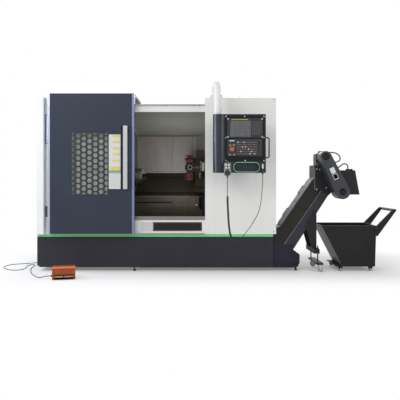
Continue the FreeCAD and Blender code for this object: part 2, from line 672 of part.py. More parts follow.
def pendant_arm():
    """Bent tube from a post on the roof, forward and down to the pendant, bored for its pivot."""
    post_radius = 48.0
    foot_radius = 86.0
    tube_end = PENDANT_Z[1] + 2
    edges, radii = route_edges([(ARM_X, ARM_BASE_Y, ARM_TOP), (ARM_X, ARM_Y, ARM_TOP),
                                (ARM_X, ARM_Y, tube_end)], 0.3)
    section = Part.Wire(Part.Circle(V(ARM_X, ARM_BASE_Y, ARM_TOP), V(0, 1, 0), ARM_RADIUS).toShape())
    tube = Part.Wire(edges).makePipeShell([section], True, False)
    post = rod((ARM_X, ARM_BASE_Y, ROOF), (ARM_X, ARM_BASE_Y, ARM_TOP + 37), post_radius)
    foot = rod((ARM_X, ARM_BASE_Y, ROOF), (ARM_X, ARM_BASE_Y, ROOF + 16), foot_radius)
    ribs = [block((ARM_X - 70, ARM_X + 70), (ARM_BASE_Y - 4, ARM_BASE_Y + 4), (ROOF + 15, ROOF + 50))]
    socket = rod((ARM_X, ARM_Y, tube_end - 1), (ARM_X, ARM_Y, tube_end + 70), PIVOT_RADIUS + RUNNING_GAP)
    return fused([tube, post, foot] + ribs).cut(socket)


def pendant_case():
    """Case with a round column at its left, a stadium pocket and the pivot pin on top."""
    middle_y = sum(PENDANT_Y) / 2
    column_x = PENDANT_X[0] + PENDANT_COLUMN_RADIUS
    column = rod((column_x, middle_y, PENDANT_Z[0]), (column_x, middle_y, PENDANT_Z[1]),
                 PENDANT_COLUMN_RADIUS)
    front_step = rounded(block((column_x, PENDANT_X[1]), PENDANT_Y, PENDANT_Z), 8, V(0, 0, 1))
    grooves = [ring((column_x, middle_y, z), (column_x, middle_y, z + 4), PENDANT_COLUMN_RADIUS + 5,
                    PENDANT_COLUMN_RADIUS - 2).cut(block((column_x + 40, 600), (-1000, -600),
                                                         (z - 1, z + 5)))
               for z in (PENDANT_Z[0] + 76, PENDANT_Z[1] - 80)]
    pocket = stadium(POCKET_X, POCKET_Z, (PENDANT_Y[0] - 5, PENDANT_Y[0] + POCKET_DEPTH))
    lip = stadium((POCKET_X[0] - 9, POCKET_X[1] + 9), (POCKET_Z[0] - 9, POCKET_Z[1] + 9),
                  (PENDANT_Y[0] - 4, PENDANT_Y[0] + 2))
    pin = rod((ARM_X, ARM_Y, PENDANT_Z[1] - 5), (ARM_X, ARM_Y, PENDANT_Z[1] + 68), PIVOT_RADIUS)
    return fused([column.cut(grooves), front_step, lip, pin]).cut(pocket)


def screen_unit():
    """Display bezel with a sunk screen and a block of keys beside it."""
    bezel = block(SCREEN_X, (PANEL_FRONT, PENDANT_Y[0]), SCREEN_Z)
    glass = block((135, 361), (PANEL_FRONT - 1, PANEL_FRONT + 4), (1497, 1671))
    keys = [block((x, x + 13), (PANEL_FRONT - 2, PANEL_FRONT), (z, z + 12))
            for x in range(374, 470, 19) for z in range(1502, 1676, 19)]
    return fused([rounded(bezel, 4, V(0, 1, 0)).cut(glass)] + keys)


def operator_panel():
    """Machine panel with rows of membrane keys, and a bore under each button and knob."""
    panel = rounded(block(OPERATOR_X, (PANEL_FRONT, PENDANT_Y[0]), OPERATOR_Z), 4, V(0, 1, 0))
    keys = [block((x, x + 14), (PANEL_FRONT - 1.5, PANEL_FRONT), (z, z + 14))
            for x in range(214, 420, 24) for z in (1312, 1342, 1372, 1402, 1432)]
    bores = [rod((x, PANEL_FRONT - 1, z), (x, PANEL_FRONT + 11, z), 6.05)
             for x, z in list(BUTTON_PLACES.values()) + list(KNOB_PLACES.values()) + [ESTOP_PLACE]]
    return fused([panel] + keys).cut(bores)


def push_button(x, z):
    """Flat round cap on a stem that runs in the panel."""
    cap = rod((x, PANEL_FRONT - 9, z), (x, PANEL_FRONT - 3.5, z), BUTTON_RADIUS)
    stem = rod((x, PANEL_FRONT - 4, z), (x, PANEL_FRONT + 4, z), 6)
    return fused([cap, stem])


def estop_button():
    """Mushroom head on a stem that runs in the panel."""
    x, z = ESTOP_PLACE
    profile = [(PANEL_FRONT - 30, 0), (PANEL_FRONT - 29, 14), (PANEL_FRONT - 25, 20),
               (PANEL_FRONT - 19, 21.5),
               (PANEL_FRONT - 16, 19), (PANEL_FRONT - 14, 12), (PANEL_FRONT - 7, 11), (PANEL_FRONT - 7, 6),
               (PANEL_FRONT + 4, 6), (PANEL_FRONT + 4, 0)]
    return outline([(x + r, y, z) for y, r in profile]).revolve(V(x, 0, z), V(0, 1, 0), 360)


def selector_knob(x, z):
    """Turned knob with a raised grip bar, on a stem in the panel."""
    skirt = rod((x, PANEL_FRONT - 8, z), (x, PANEL_FRONT - 0.4, z), KNOB_RADIUS)
    grip = block((x - 3.5, x + 3.5), (PANEL_FRONT - 20, PANEL_FRONT - 7),
                 (z - KNOB_RADIUS + 1, z + KNOB_RADIUS - 1))
    stem = rod((x, PANEL_FRONT - 1, z), (x, PANEL_FRONT + 10, z), 6)
    return fused([skirt, grip, stem])


def pendant_handle():
    """Bent round bar on the right side of the pendant."""
    bar_radius = 7.0
    points = [(PENDANT_X[1], -815, 1277), (562, -815, 1277), (562, -815, 1493), (PENDANT_X[1], -815, 1493)]
    edges, radii = route_edges(points, 0.45)
    section = Part.Wire(Part.Circle(V(*points[0]), V(1, 0, 0), bar_radius).toShape())
    return Part.Wire(edges).makePipeShell([section], True, False)


def handwheel_unit():
    """Hand pulse unit hung on the pendant, with a bored boss for the dial."""
    x, z = DIAL_PLACE
    body = rounded(block(HANDWHEEL_X, (PENDANT_Y[0] - 48, PENDANT_Y[0]),
                         (HANDWHEEL_Z[0] + 8, HANDWHEEL_Z[1])),
                   10, V(0, 1, 0))
    gland = rod((x, CORD_Y, HANDWHEEL_Z[0]), (x, CORD_Y, HANDWHEEL_Z[0] + 10), 7)
    bore = rod((x, PENDANT_Y[0] - 49, z), (x, PENDANT_Y[0] - 30, z), 6.05)
    switches = [rod((x + dx, PENDANT_Y[0] - 54, 1190), (x + dx, PENDANT_Y[0] - 48, 1190), 9)
                for dx in (-16, 16)]
    return fused([body, gland] + switches).cut(bore)


def handwheel_dial():
    """Round dial with a finger knob near its rim and a stem in the unit."""
    x, z = DIAL_PLACE
    front = PENDANT_Y[0] - 48
    disc = Part.makeCone(DIAL_RADIUS - 3, DIAL_RADIUS, 12, V(x, front - 12.4, z), V(0, 1, 0))
    finger = rod((x + 20, front - 24, z), (x + 20, front - 12, z), 5)
    stem = rod((x, front - 1, z), (x, front + 16, z), 6)
    return fused([disc, finger, stem])


def cord_socket():
    """Pale connector at the case's right edge that takes the far end of the cord."""
    x = CORD_POINTS[-1][0]
    body = rounded(block((x - 13, x + 13), (CORD_Y - 10, PENDANT_Y[0]), (1150, 1206)), 4, V(0, 0, 1))
    nut = rod((x, CORD_Y, CORD_POINTS[-1][2]), (x, CORD_Y, 1151), 8)
    return fused([body, nut])


# Route of the cord that hangs from the handwheel unit and returns to the socket.
SLEEVE_POINTS = [(107, CORD_Y, 862), (107.5, CORD_Y, 806), (110, CORD_Y, 750), (113, CORD_Y, 694),
                 (115, CORD_Y, 640), (118.5, CORD_Y, 586), (124, CORD_Y, 532), (131, CORD_Y, 480),
                 (141, CORD_Y, 436), (157, CORD_Y, 396)]
CORD_TOP_POINTS = [(106, CORD_Y, HANDWHEEL_Z[0]), (106, CORD_Y, 1022), (105.6, CORD_Y, 968),
                   (106.2, CORD_Y, 914), (107, CORD_Y, 862)]
CORD_POINTS = [(157, CORD_Y, 396), (173, CORD_Y, 372), (194, CORD_Y, 364), (220, CORD_Y, 380),
               (250, CORD_Y, 409), (284, CORD_Y, 447), (320, CORD_Y, 494), (358, CORD_Y, 545),
               (393, CORD_Y, 600), (423, CORD_Y, 655), (445, CORD_Y, 712), (458, CORD_Y, 768),
               (466, CORD_Y, 826), (472, CORD_Y, 884), (477, CORD_Y, 942), (481, CORD_Y, 998),
               (483, CORD_Y, 1054), (483, CORD_Y, 1108)]


def pendant_cord():
    """Thin cord along the whole loop, inside a thicker sleeve on its falling side."""
    thin = cord("pendant_cord", CORD_TOP_POINTS + SLEEVE_POINTS[1:] + CORD_POINTS[1:], CORD_RADIUS)
    sleeve = cord("cord_sleeve", SLEEVE_POINTS, SLEEVE_RADIUS)
    return thin.fuse(sleeve)


nodes["pendant_arm"] = pendant_arm()
nodes["pendant_case"] = fused([pendant_case(), cord_socket()])
nodes["screen_unit"] = screen_unit()
nodes["operator_panel"] = operator_panel()
nodes["pendant_handle"] = pendant_handle()
nodes["handwheel_unit"] = handwheel_unit().cut(nodes["pendant_case"])
nodes["handwheel_dial"] = handwheel_dial()
nodes["pendant_cord"] = pendant_cord()
nodes["estop_button"] = estop_button()
for button, place in BUTTON_PLACES.items():
    nodes[button] = push_button(*place)
for knob, place in KNOB_PLACES.items():
    nodes[knob] = selector_knob(*place)


# ---- chip conveyor
def up_incline(along, out):
    """Point on the incline, along its top face from its foot and out from that face."""
    (x0, z0), (x1, z1) = INCLINE_TOP
    length = math.hypot(x1 - x0, z1 - z0)
    ux, uz = (x1 - x0) / length, (z1 - z0) / length
    return x0 + along * ux - out * uz, z0 + along * uz + out * ux


def conveyor_trough():
    """Open pan under the chamber with its hinged belt, then the closed incline to the head."""
    joint_x = BASE_RIGHT + 2
    clear_x = ENCLOSURE_RIGHT + 2
    incline = side_plate([(joint_x, PAN_BOTTOM), *TAIL, *INCLINE_BOTTOM, INCLINE_TOP[1], INCLINE_TOP[0],
                          (clear_x, 490), (clear_x, STRIP_TOP - 2), (joint_x, STRIP_TOP - 2)], CONVEYOR_Y)
    front, back = CONVEYOR_Y
    section = [(front, PAN_BOTTOM), (back, PAN_BOTTOM), (back, PAN_TOP), (back - PAN_WALL, PAN_TOP),
               (back - PAN_WALL, PAN_BOTTOM + PAN_WALL), (front + PAN_WALL, PAN_BOTTOM + PAN_WALL),
               (front + PAN_WALL, PAN_TOP), (front, PAN_TOP)]
    pan = cross_plate(section, (PAN_LEFT, joint_x))
    end_wall = block((PAN_LEFT, PAN_LEFT + PAN_WALL), CONVEYOR_Y, (PAN_BOTTOM, PAN_TOP))
    belt = block((PAN_LEFT, joint_x), CONVEYOR_Y, (140, 148))
    slats = [block((x, x + 10), CONVEYOR_Y, (148, 156)) for x in range(-830, 640, 98)]
    fold = side_plate([(905, 300), (1262, 856), (1195, 911), (772, 301)], (front - 3, front))
    brackets = [block((828, 931), (y, y + 27), (50, 76)) for y in (front - 27, back)]
    pins = [rod((FOOT_WHEEL_X, y, FOOT_WHEEL_RADIUS), (FOOT_WHEEL_X, y + 27, FOOT_WHEEL_RADIUS), 5)
            for y in (front - 27, back)]
    cheeks = [block((FOOT_WHEEL_X - 12, FOOT_WHEEL_X + 12), (y, y + 3), (12, 52))
              for y in (front - 27, back + 24)]
    hubs = [block((FOOT_WHEEL_X - 12, FOOT_WHEEL_X + 12), (y, y + 3), (12, 52)) for y in (front - 3, back)]
    return fused([incline, pan, end_wall, belt, fold] + slats + brackets + pins + cheeks + hubs)


def cover_plate(start, length):
    """Screwed cover on the incline with a bent handle."""
    low, high = CONVEYOR_Y
    corners = [up_incline(start, 0), up_incline(start + length, 0), up_incline(start + length, 8),
               up_incline(start, 8)]
    plate = side_plate(corners, (low + 12, high - 12))
    middle = start + length / 2
    handle = side_plate([up_incline(middle - 60, 8), up_incline(middle - 52, 30),
                         up_incline(middle + 52, 30),
                         up_incline(middle + 60, 8), up_incline(middle + 50, 8), up_incline(middle + 44, 22),
                         up_incline(middle - 44, 22), up_incline(middle - 50, 8)], (low + 190, low + 202))
    return fused([plate, handle])


def head_box():
    """Drive housing at the top of the incline with its lid, screwed cheek and end bearing."""
    corners = [INCLINE_TOP[1], INCLINE_BOTTOM[1], (HEAD_X[1], HEAD_Z[0]), (HEAD_X[1], HEAD_Z[1]),
               (HEAD_X[0], HEAD_Z[1]), (HEAD_X[0], INCLINE_TOP[1][1] + 10)]
    body = side_plate(corners, CONVEYOR_Y)
    lid = block((HEAD_X[0] - 6, HEAD_X[0] + 44), (CONVEYOR_Y[0] + 20, CONVEYOR_Y[1] - 20),
                (HEAD_Z[1], HEAD_Z[1] + 7))
    bearing = rod((1300, CONVEYOR_Y[1], 1010), (1300, CONVEYOR_Y[1] + 14, 1010), 46)
    cheek = block((1127, 1340), (CONVEYOR_Y[0] - 4, CONVEYOR_Y[0]), (927, 1178))
    return fused([body, lid, bearing, cheek])


def hull_of_circles(first, second, y):
    """Slab round two circles and the straight flanks that touch both."""
    (x1, z1, r1), (x2, z2, r2) = first, second
    gap = math.hypot(x2 - x1, z2 - z1)
    heading = math.atan2(z2 - z1, x2 - x1)
    swing = math.acos((r1 - r2) / gap)
    corners = []
    for x, z, r, side in ((x1, z1, r1, 1), (x2, z2, r2, 1), (x2, z2, r2, -1), (x1, z1, r1, -1)):
        corners.append((x + r * math.cos(heading + side * swing), z + r * math.sin(heading + side * swing)))
    discs = [rod((x, y[0], z), (x, y[1], z), r) for x, z, r in (first, second)]
    return fused([side_plate(corners, y)] + discs)


def drive_guard():
    """Tapered chain guard with a sunk slotted vent at each end."""
    guard = hull_of_circles(GUARD_TOP, GUARD_BOTTOM, (GUARD_FRONT, CONVEYOR_Y[0]))
    cuts = []
    for x, z, r in (GUARD_TOP, GUARD_BOTTOM):
        for i in range(-2, 3):
            half = math.sqrt(32 ** 2 - (i * 12) ** 2)
            cuts.append(block((x - half, x + half), (GUARD_FRONT - 1, GUARD_FRONT + 8),
                              (z + i * 12 - 3, z + i * 12 + 3)))
    return guard.cut(cuts)


def gear_motor():
    """Gearbox on the head box, with the motor and its fan cover behind and a terminal box."""
    base = HEAD_Z[1]
    gearbox = rounded(block((1140, 1292), (-482, -330), (base + 8, 1340)), 14, V(0, 1, 0))
    foot = block((1168, 1306), (-490, -320), (base, base + 10))
    axis_x = 1232.0
    axis_z = 1278.0
    motor = rod((axis_x, -331, axis_z), (axis_x, -196, axis_z), 65)
    fan = rod((axis_x, -196, axis_z), (axis_x, -168, axis_z), 58)
    terminal = rounded(block((1180, 1262), (-452, -380), (1339, 1366)), 6, V(0, 0, 1))
    gland = rod((1260, -416, 1352), (1274, -416, 1352), 8)
    shaft = rod((GUARD_TOP[0], CONVEYOR_Y[0], GUARD_TOP[1] - 20),
                (GUARD_TOP[0], -481, GUARD_TOP[1] - 20), 22)
    return fused([gearbox, foot, motor, fan, terminal, gland, shaft])


def discharge_hood():
    """Chute from the head box, open below, with the cable connector on top."""
    wall = 8.0
    back_x = HEAD_X[1]
    y = (CONVEYOR_Y[0] + 15, CONVEYOR_Y[1] - 15)
    outer = side_plate([(back_x, 1146), (1588, 1146), (1638, 868), (1521, 868), (1466, 925),
                        (back_x, 925)], y)
    inner = side_plate([(back_x + 40, 1138), (1580, 1138), (1629, 860), (1529, 860), (1470, 933),
                        (back_x + 40, 933)], (y[0] + wall, y[1] - wall))
    connector = rounded(block((1504, 1576), (-432, -368), (1146, 1158)), 5, V(0, 0, 1))
    nut = rod((1527, -400, 1157), (1527, -400, 1164), 10)
    return fused([outer.cut(inner), connector, nut])


def wheel(x, y, radius, width, bore):
    """Tyred wheel with a stepped hub, its axis along Y."""
    profile = [(bore, -width / 2 - 1), (bore * 2, -width / 2 - 1), (bore * 2, -width / 2 + 3),
               (radius * 0.72, -width / 2 + 3), (radius * 0.72, -width / 2), (radius - 2, -width / 2),
               (radius, -width / 2 + 2), (radius, width / 2 - 2), (radius - 2, width / 2),
               (radius * 0.72, width / 2), (radius * 0.72, width / 2 - 3), (bore * 2, width / 2 - 3),
               (bore * 2, width / 2 + 1), (bore, width / 2 + 1)]
    face = outline([(x + r, y + side, radius) for r, side in profile])
    return face.revolve(V(x, 0, radius), V(0, 1, 0), 360)


def fork(x, y, radius, top, gap):
    """Two cheeks, a head plate and the axle of one caster."""
    head = block((x - 32, x + 32), (y - gap - 5, y + gap + 5), (top - 8, top))
    cheeks = [side_plate([(x - 26, top - 6), (x + 26, top - 6), (x + 12, radius - 12),
                          (x - 12, radius - 12)], side)
              for side in ((y - gap - 5, y - gap), (y + gap, y + gap + 5))]
    axle = rod((x, y - gap - 9, radius), (x, y + gap + 9, radius), 6)
    return fused([head, axle] + cheeks)


LEG_WHEELS_Y = (-580.0, -160.0)


def support_leg():
    """Two tapered plates under the incline, a cross beam, and a caster channel on two jacking screws."""
    low, high = CONVEYOR_Y
    corners = [(1010, 520), (1120, 700), (1140, 650), (1140, 250), (1092, 250), (1040, 440)]
    plates = [side_plate(corners, y) for y in ((low - 12, low), (high, high + 12))]
    beam = block((1092, 1156), LEG_BEAM_Y, (208, 258))
    channel = block((1118, 1196), LEG_BEAM_Y, (86, 104))
    screws = []
    for y in (LEG_BEAM_Y[0] + 26, LEG_BEAM_Y[1] - 70):
        screws.append(rod((1138, y, 100), (1138, y, 296), 7))
        screws.append(rod((1138, y, 258), (1138, y, 270), 13))
    forks = [fork(LEG_WHEEL_X, y, LEG_WHEEL_RADIUS, 88, 15) for y in LEG_WHEELS_Y]
    return fused(plates + [beam, channel] + screws + forks)


MOTOR_CORD_POINTS = [(1274, -416, 1352), (1304, -416, 1352), (1336, -417, 1353),
                     (1369, -419, 1350), (1399, -420, 1338), (1422, -421, 1316),
                     (1433, -421, 1288), (1427, -420, 1261), (1405, -419, 1246),
                     (1379, -417, 1240), (1359, -416, 1224), (1353, -414, 1200),
                     (1362, -412, 1177), (1385, -410, 1167), (1410, -408, 1175),
                     (1430, -407, 1191), (1450, -406, 1209), (1472, -404, 1222),
                     (1496, -402, 1224), (1516, -400, 1212), (1527, -400, 1190), (1527, -400, 1164)]
MOTOR_CORD_RADIUS = 4.5

nodes["conveyor_trough"] = conveyor_trough()
nodes["conveyor_covers"] = group([cover_plate(start, 312) for start in (16, 334)])
nodes["drive_guard"] = drive_guard()
nodes["conveyor_head_box"] = head_box().cut([nodes["drive_guard"], nodes["conveyor_trough"]])
nodes["gear_motor"] = gear_motor()
nodes["discharge_hood"] = discharge_hood()
nodes["support_leg"] = support_leg().cut(nodes["conveyor_trough"])
nodes["leg_wheels"] = group([wheel(LEG_WHEEL_X, y, LEG_WHEEL_RADIUS, 26, 6.05) for y in LEG_WHEELS_Y])
nodes["foot_wheels"] = group([wheel(FOOT_WHEEL_X, y, FOOT_WHEEL_RADIUS, 16, 5.05)
                              for y in (CONVEYOR_Y[0] - 13.5, CONVEYOR_Y[1] + 13.5)])
nodes["motor_cord"] = cord("motor_cord", MOTOR_CORD_POINTS, MOTOR_CORD_RADIUS)


# ---- chip cart
CART_WHEELS_Y = (CART_Y[0] + 34, CART_Y[1] - 34)


def cart_tub():
    """Sheet hopper with one sloping end, a rim, a floor frame and the wheel axles."""
    rim = 10.0
    low, high = CART_Y
    left, right = CART_RIM_X
    outer = side_plate([(left + rim, CART_RIM_Z), (right - 2, CART_RIM_Z), (CART_FLOOR_X[1], CART_FLOOR_Z),
                        (CART_FLOOR_X[0], CART_FLOOR_Z)], (low + rim, high - rim))
    wall = CART_WALL
    inner = side_plate([(left + rim + wall * 1.2, CART_RIM_Z + 1), (right - 2 - wall, CART_RIM_Z + 1),
                        (CART_FLOOR_X[1] - wall, CART_FLOOR_Z + wall),
                        (CART_FLOOR_X[0] + wall * 0.6, CART_FLOOR_Z + wall)],
                       (low + rim + wall, high - rim - wall))
    lip = block(CART_RIM_X, CART_Y, (CART_RIM_Z - 8, CART_RIM_Z)).cut(
        block((left + rim + wall, right - 2 - wall), (low + rim + wall, high - rim - wall),
              (CART_RIM_Z - 9, CART_RIM_Z + 1)))
    frame = block((1356, CART_FLOOR_X[1]), (low + rim, high - rim), (CART_FLOOR_Z - 8, CART_FLOOR_Z))
    forks = [fork(x, y, CART_WHEEL_RADIUS, CART_FLOOR_Z - 2, 14)
             for x in CART_WHEELS_X for y in CART_WHEELS_Y]
    return fused([outer.cut(inner), lip.cut(inner), frame] + forks)


def cart_handle():
    """Two tapering arms bolted to the tub's sides and the grip tube between them."""
    low, high = CART_Y
    corners = [(1794, 396), (1800, 506), (1816.5, 507), (1816.5, 520), (1996, 702), (2018, 706),
               (2034, 692), (2026, 672), (1828, 400)]
    arms = [side_plate(corners, y) for y in ((low + 2, low + 10), (high - 10, high - 2))]
    grip = rod((GRIP_X, low, GRIP_Z), (GRIP_X, high, GRIP_Z), GRIP_RADIUS)
    return fused(arms + [grip])


nodes["cart_tub"] = cart_tub()
nodes["cart_handle"] = cart_handle()
for side, x in (("left", CART_WHEELS_X[0]), ("right", CART_WHEELS_X[1])):
    nodes["cart_%s_wheels" % side] = group([wheel(x, y, CART_WHEEL_RADIUS, 24, 6.05)
                                            for y in CART_WHEELS_Y])


# ---- foot switch, drawn square at the middle and then turned and moved to its place
def on_floor(shape):
    """Shape turned with the foot switch and moved to its place."""
    copy = shape.copy()
    copy.rotate(V(0, 0, 0), V(0, 0, 1), SWITCH_TURN)
    copy.translate(V(*SWITCH_PLACE, 0))
    return copy


def pedal_housing():
    """Hood with a rolled top edge over the two treads, its floor plate, cord gland and pivot pin."""
    half = SWITCH_WIDTH / 2
    wall = 4.0
    floor = 6.0
    hood = cross_plate([(SWITCH_FRONT, 0), (SWITCH_FRONT, SWITCH_TOP - 12), (SWITCH_FRONT + 12, SWITCH_TOP),
                        (SWITCH_BACK, SWITCH_TOP), (SWITCH_BACK, 0)], (-half, half))
    inside = cross_plate([(SWITCH_FRONT + wall, floor), (SWITCH_FRONT + wall, SWITCH_TOP - 14),
                          (SWITCH_FRONT + 14, SWITCH_TOP - wall), (SWITCH_BACK - wall, SWITCH_TOP - wall),
                          (SWITCH_BACK - wall, floor)], (-half + wall, half - wall))
    mouth = block((-98, 98), (SWITCH_FRONT - 1, SWITCH_FRONT + wall + 1), (floor, SWITCH_OPENING))
    gland = rod((-half - 14, 36, 30), (-half + 1, 36, 30), 9)
    pin = rod((-half + 1, *PEDAL_PIVOT), (half - 1, *PEDAL_PIVOT), 5)
    return fused([hood.cut([inside, mouth]), gland, pin])


def pedal(x):
    """Tread that reaches out under the hood, with ribs across its toe and a bored hub on the pin."""
    toe = SWITCH_FRONT - 24
    y, z = PEDAL_PIVOT
    tread = cross_plate([(toe, 30), (toe, 36), (toe + 4, 39), (toe + 40, 42), (y, z + 12), (y, z - 2),
                         (toe + 36, 34)], x)
    hub = rod((x[0], y, z), (x[1], y, z), 12)
    bore = rod((x[0] - 1, y, z), (x[1] + 1, y, z), 5.05)
    ribs = [block(x, (toe + 6 + i * 7, toe + 9 + i * 7), (37, 42.5 + i * 0.4)) for i in range(3)]
    return fused([tread, hub] + ribs).cut(bore)


FLOOR_CORD_RADIUS = 4.0
FLOOR_Z = FLOOR_CORD_RADIUS
PEDAL_CORD_POINTS = [
    (-1750.77, -1015.98, 30), (-1785.75, -1024.5, 30), (-1821, -1021, 24), (-1856, -1003, 13),
    (-1889, -972, 6), (-1920, -935, FLOOR_Z), (-1957, -883, FLOOR_Z), (-1996, -815, FLOOR_Z),
    (-2032, -736, FLOOR_Z),
    (-2068, -650, FLOOR_Z), (-2102, -556, FLOOR_Z), (-2128, -462, FLOOR_Z), (-2154, -366, FLOOR_Z),
    (-2170, -268, FLOOR_Z), (-2172, -184, FLOOR_Z), (-2180, -120, FLOOR_Z), (-2202, -78, FLOOR_Z),
    (-2238, -74, FLOOR_Z), (-2262, -112, FLOOR_Z), (-2260, -180, FLOOR_Z), (-2240, -262, FLOOR_Z),
    (-2224, -344, FLOOR_Z), (-2228, -420, FLOOR_Z), (-2258, -474, FLOOR_Z), (-2310, -488, FLOOR_Z),
    (-2372, -462, FLOOR_Z), (-2436, -404, FLOOR_Z), (-2488, -324, FLOOR_Z), (-2514, -232, FLOOR_Z),
    (-2516, -142, FLOOR_Z), (-2490, -66, FLOOR_Z), (-2432, -22, FLOOR_Z), (-2356, 8, FLOOR_Z),
    (-2278, 48, FLOOR_Z), (-2212, 92, FLOOR_Z), (-2162, 124, 10), (-2122, 148, 36), (-2082, 160, 62),
    (LEFT, 160, 62)]

nodes["pedal_housing"] = on_floor(pedal_housing())
for name, x in PEDAL_PLACES.items():
    nodes[name] = on_floor(pedal(x))
nodes["pedal_cord"] = cord("pedal_cord", PEDAL_CORD_POINTS, FLOOR_CORD_RADIUS)


# ---- export
os.makedirs("parts", exist_ok=True)
print("nodes", len(nodes))
for name, shape in nodes.items():
    shape.exportStep("parts/%s.step" % name)
    box = shape.BoundBox
    print(name, "solids", len(shape.Solids), "valid", shape.isValid(),
          [round(v) for v in (box.XMin, box.XMax, box.YMin, box.YMax, box.ZMin, box.ZMax)])
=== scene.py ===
# Slant-bed turning lathe: looks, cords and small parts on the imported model. All lengths in metres.
import math

import bpy
import bmesh
from mathutils import Matrix, Vector


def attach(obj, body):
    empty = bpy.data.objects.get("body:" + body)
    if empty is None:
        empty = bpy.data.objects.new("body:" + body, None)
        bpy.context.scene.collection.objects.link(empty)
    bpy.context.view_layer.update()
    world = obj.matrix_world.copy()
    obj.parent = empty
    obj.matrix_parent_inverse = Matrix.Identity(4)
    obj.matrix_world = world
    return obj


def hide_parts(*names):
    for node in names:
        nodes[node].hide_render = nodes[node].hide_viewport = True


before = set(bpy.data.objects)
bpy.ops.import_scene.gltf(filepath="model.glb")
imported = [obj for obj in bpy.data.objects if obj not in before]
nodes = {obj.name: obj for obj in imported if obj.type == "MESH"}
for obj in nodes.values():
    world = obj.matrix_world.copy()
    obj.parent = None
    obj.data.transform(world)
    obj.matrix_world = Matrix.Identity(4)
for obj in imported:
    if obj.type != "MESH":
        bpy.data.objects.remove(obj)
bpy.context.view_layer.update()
scene = bpy.context.scene
print("frame loaded:", len(nodes), "nodes")

cameraLook = {"place": (-0.187, -6.825, 1.035), "lens": 49.9, "sensor": 36.0, "shiftY": -0.05,
              "farthest": 300.0}
lampLook = {
    "keyLamp": {"place": (-3.6, -5.8, 4.4), "aim": (-0.2, 0.0, 1.0), "power": 118.0, "size": 3.0},
    "fillLamp": {"place": (4.4, -5.0, 2.8), "aim": (0.2, 0.0, 0.9), "power": 84.0, "size": 3.2},
    "sideLamp": {"place": (-5.6, -2.3, 1.4), "aim": (0.0, -0.9, 1.4), "power": 62.0, "size": 2.2},
    "sheenLamp": {"place": (-3.4, -0.72, 1.85), "aim": (0.0, -0.9, 1.4), "power": 32.0, "size": 0.6,
                  "tint": (0.74, 0.82, 1.0)},
    "backLamp": {"place": (0.8, 5.4, 4.4), "aim": (0.0, 0.6, 1.0), "power": 150.0, "size": 3.5},
    "chamberLamp": {"place": (-0.45, -0.38, 1.04), "aim": (-0.42, 0.28, 1.66), "power": 7.0, "size": 0.5,
                    "shine": False},
}
stageLook = {
    "skyStrength": 0.62,
    "floorHalf": 70.0,
    "floorColour": (0.80, 0.80, 0.80),
    "floorGlow": 0.2,
    "floorReach": (0.0, 1.15),
    "shadowHalf": (1.85, 0.50, 0.0),
}


def addObject(name, data):
    added = bpy.data.objects.new(name, data)
    scene.collection.objects.link(added)
    return added


def addNode(tree, kind, inputs, **settings):  # each input is a value or the output of another node
    node = tree.nodes.new(kind)
    for key, value in settings.items():
        setattr(node, key, value)
    for key, value in inputs.items():
        if isinstance(value, bpy.types.NodeSocket):
            tree.links.new(value, node.inputs[key])
        else:
            node.inputs[key].default_value = value
    return node


def calculate(tree, operation, first, second):
    return addNode(tree, "ShaderNodeMath", {0: first, 1: second}, operation=operation).outputs[0]


def emptyTree(owner):
    owner.use_nodes = True
    owner.node_tree.nodes.clear()
    return owner.node_tree


def makeCamera(look):
    data = bpy.data.cameras.new("photoCamera")
    data.lens = look["lens"]
    data.sensor_width = look["sensor"]
    data.sensor_fit = "HORIZONTAL"
    data.shift_y = look["shiftY"]
    data.clip_end = look["farthest"]
    camera = addObject("photoCamera", data)
    camera.location = look["place"]
    camera.rotation_euler = (math.radians(90.0), 0.0, 0.0)
    scene.camera = camera


def softLamp(name, look):
    data = bpy.data.lights.new(name, "AREA")
    data.shape = "DISK"
    data.size = look["size"]
    data.energy = look["power"]
    data.color = look.get("tint", (1.0, 1.0, 1.0))
    lamp = addObject(name, data)
    lamp.location = look["place"]
    towards = Vector(look["aim"]) - Vector(look["place"])
    lamp.rotation_euler = towards.to_track_quat("-Z", "Y").to_euler()
    lamp.visible_camera = False
    lamp.visible_glossy = look.get("shine", True)


def seenDirectly(tree):  # 1 where the camera, a mirror or a pane looks straight at it
    rays = addNode(tree, "ShaderNodeLightPath", {}).outputs
    either = calculate(tree, "MAXIMUM", rays["Is Camera Ray"], rays["Is Glossy Ray"])
    return calculate(tree, "MAXIMUM", either, rays["Is Transmission Ray"])


def makeSky(look):
    scene.world = bpy.data.worlds.new("studioSky")
    tree = emptyTree(scene.world)
    soft, white = [addNode(tree, "ShaderNodeBackground",
                           {"Strength": strength, "Color": (1.0, 1.0, 1.0, 1.0)})
                   for strength in (look["skyStrength"], 1.0)]
    mix = addNode(tree, "ShaderNodeMixShader",
                  {0: seenDirectly(tree), 1: soft.outputs[0], 2: white.outputs[0]})
    addNode(tree, "ShaderNodeOutputWorld", {"Surface": mix.outputs[0]})


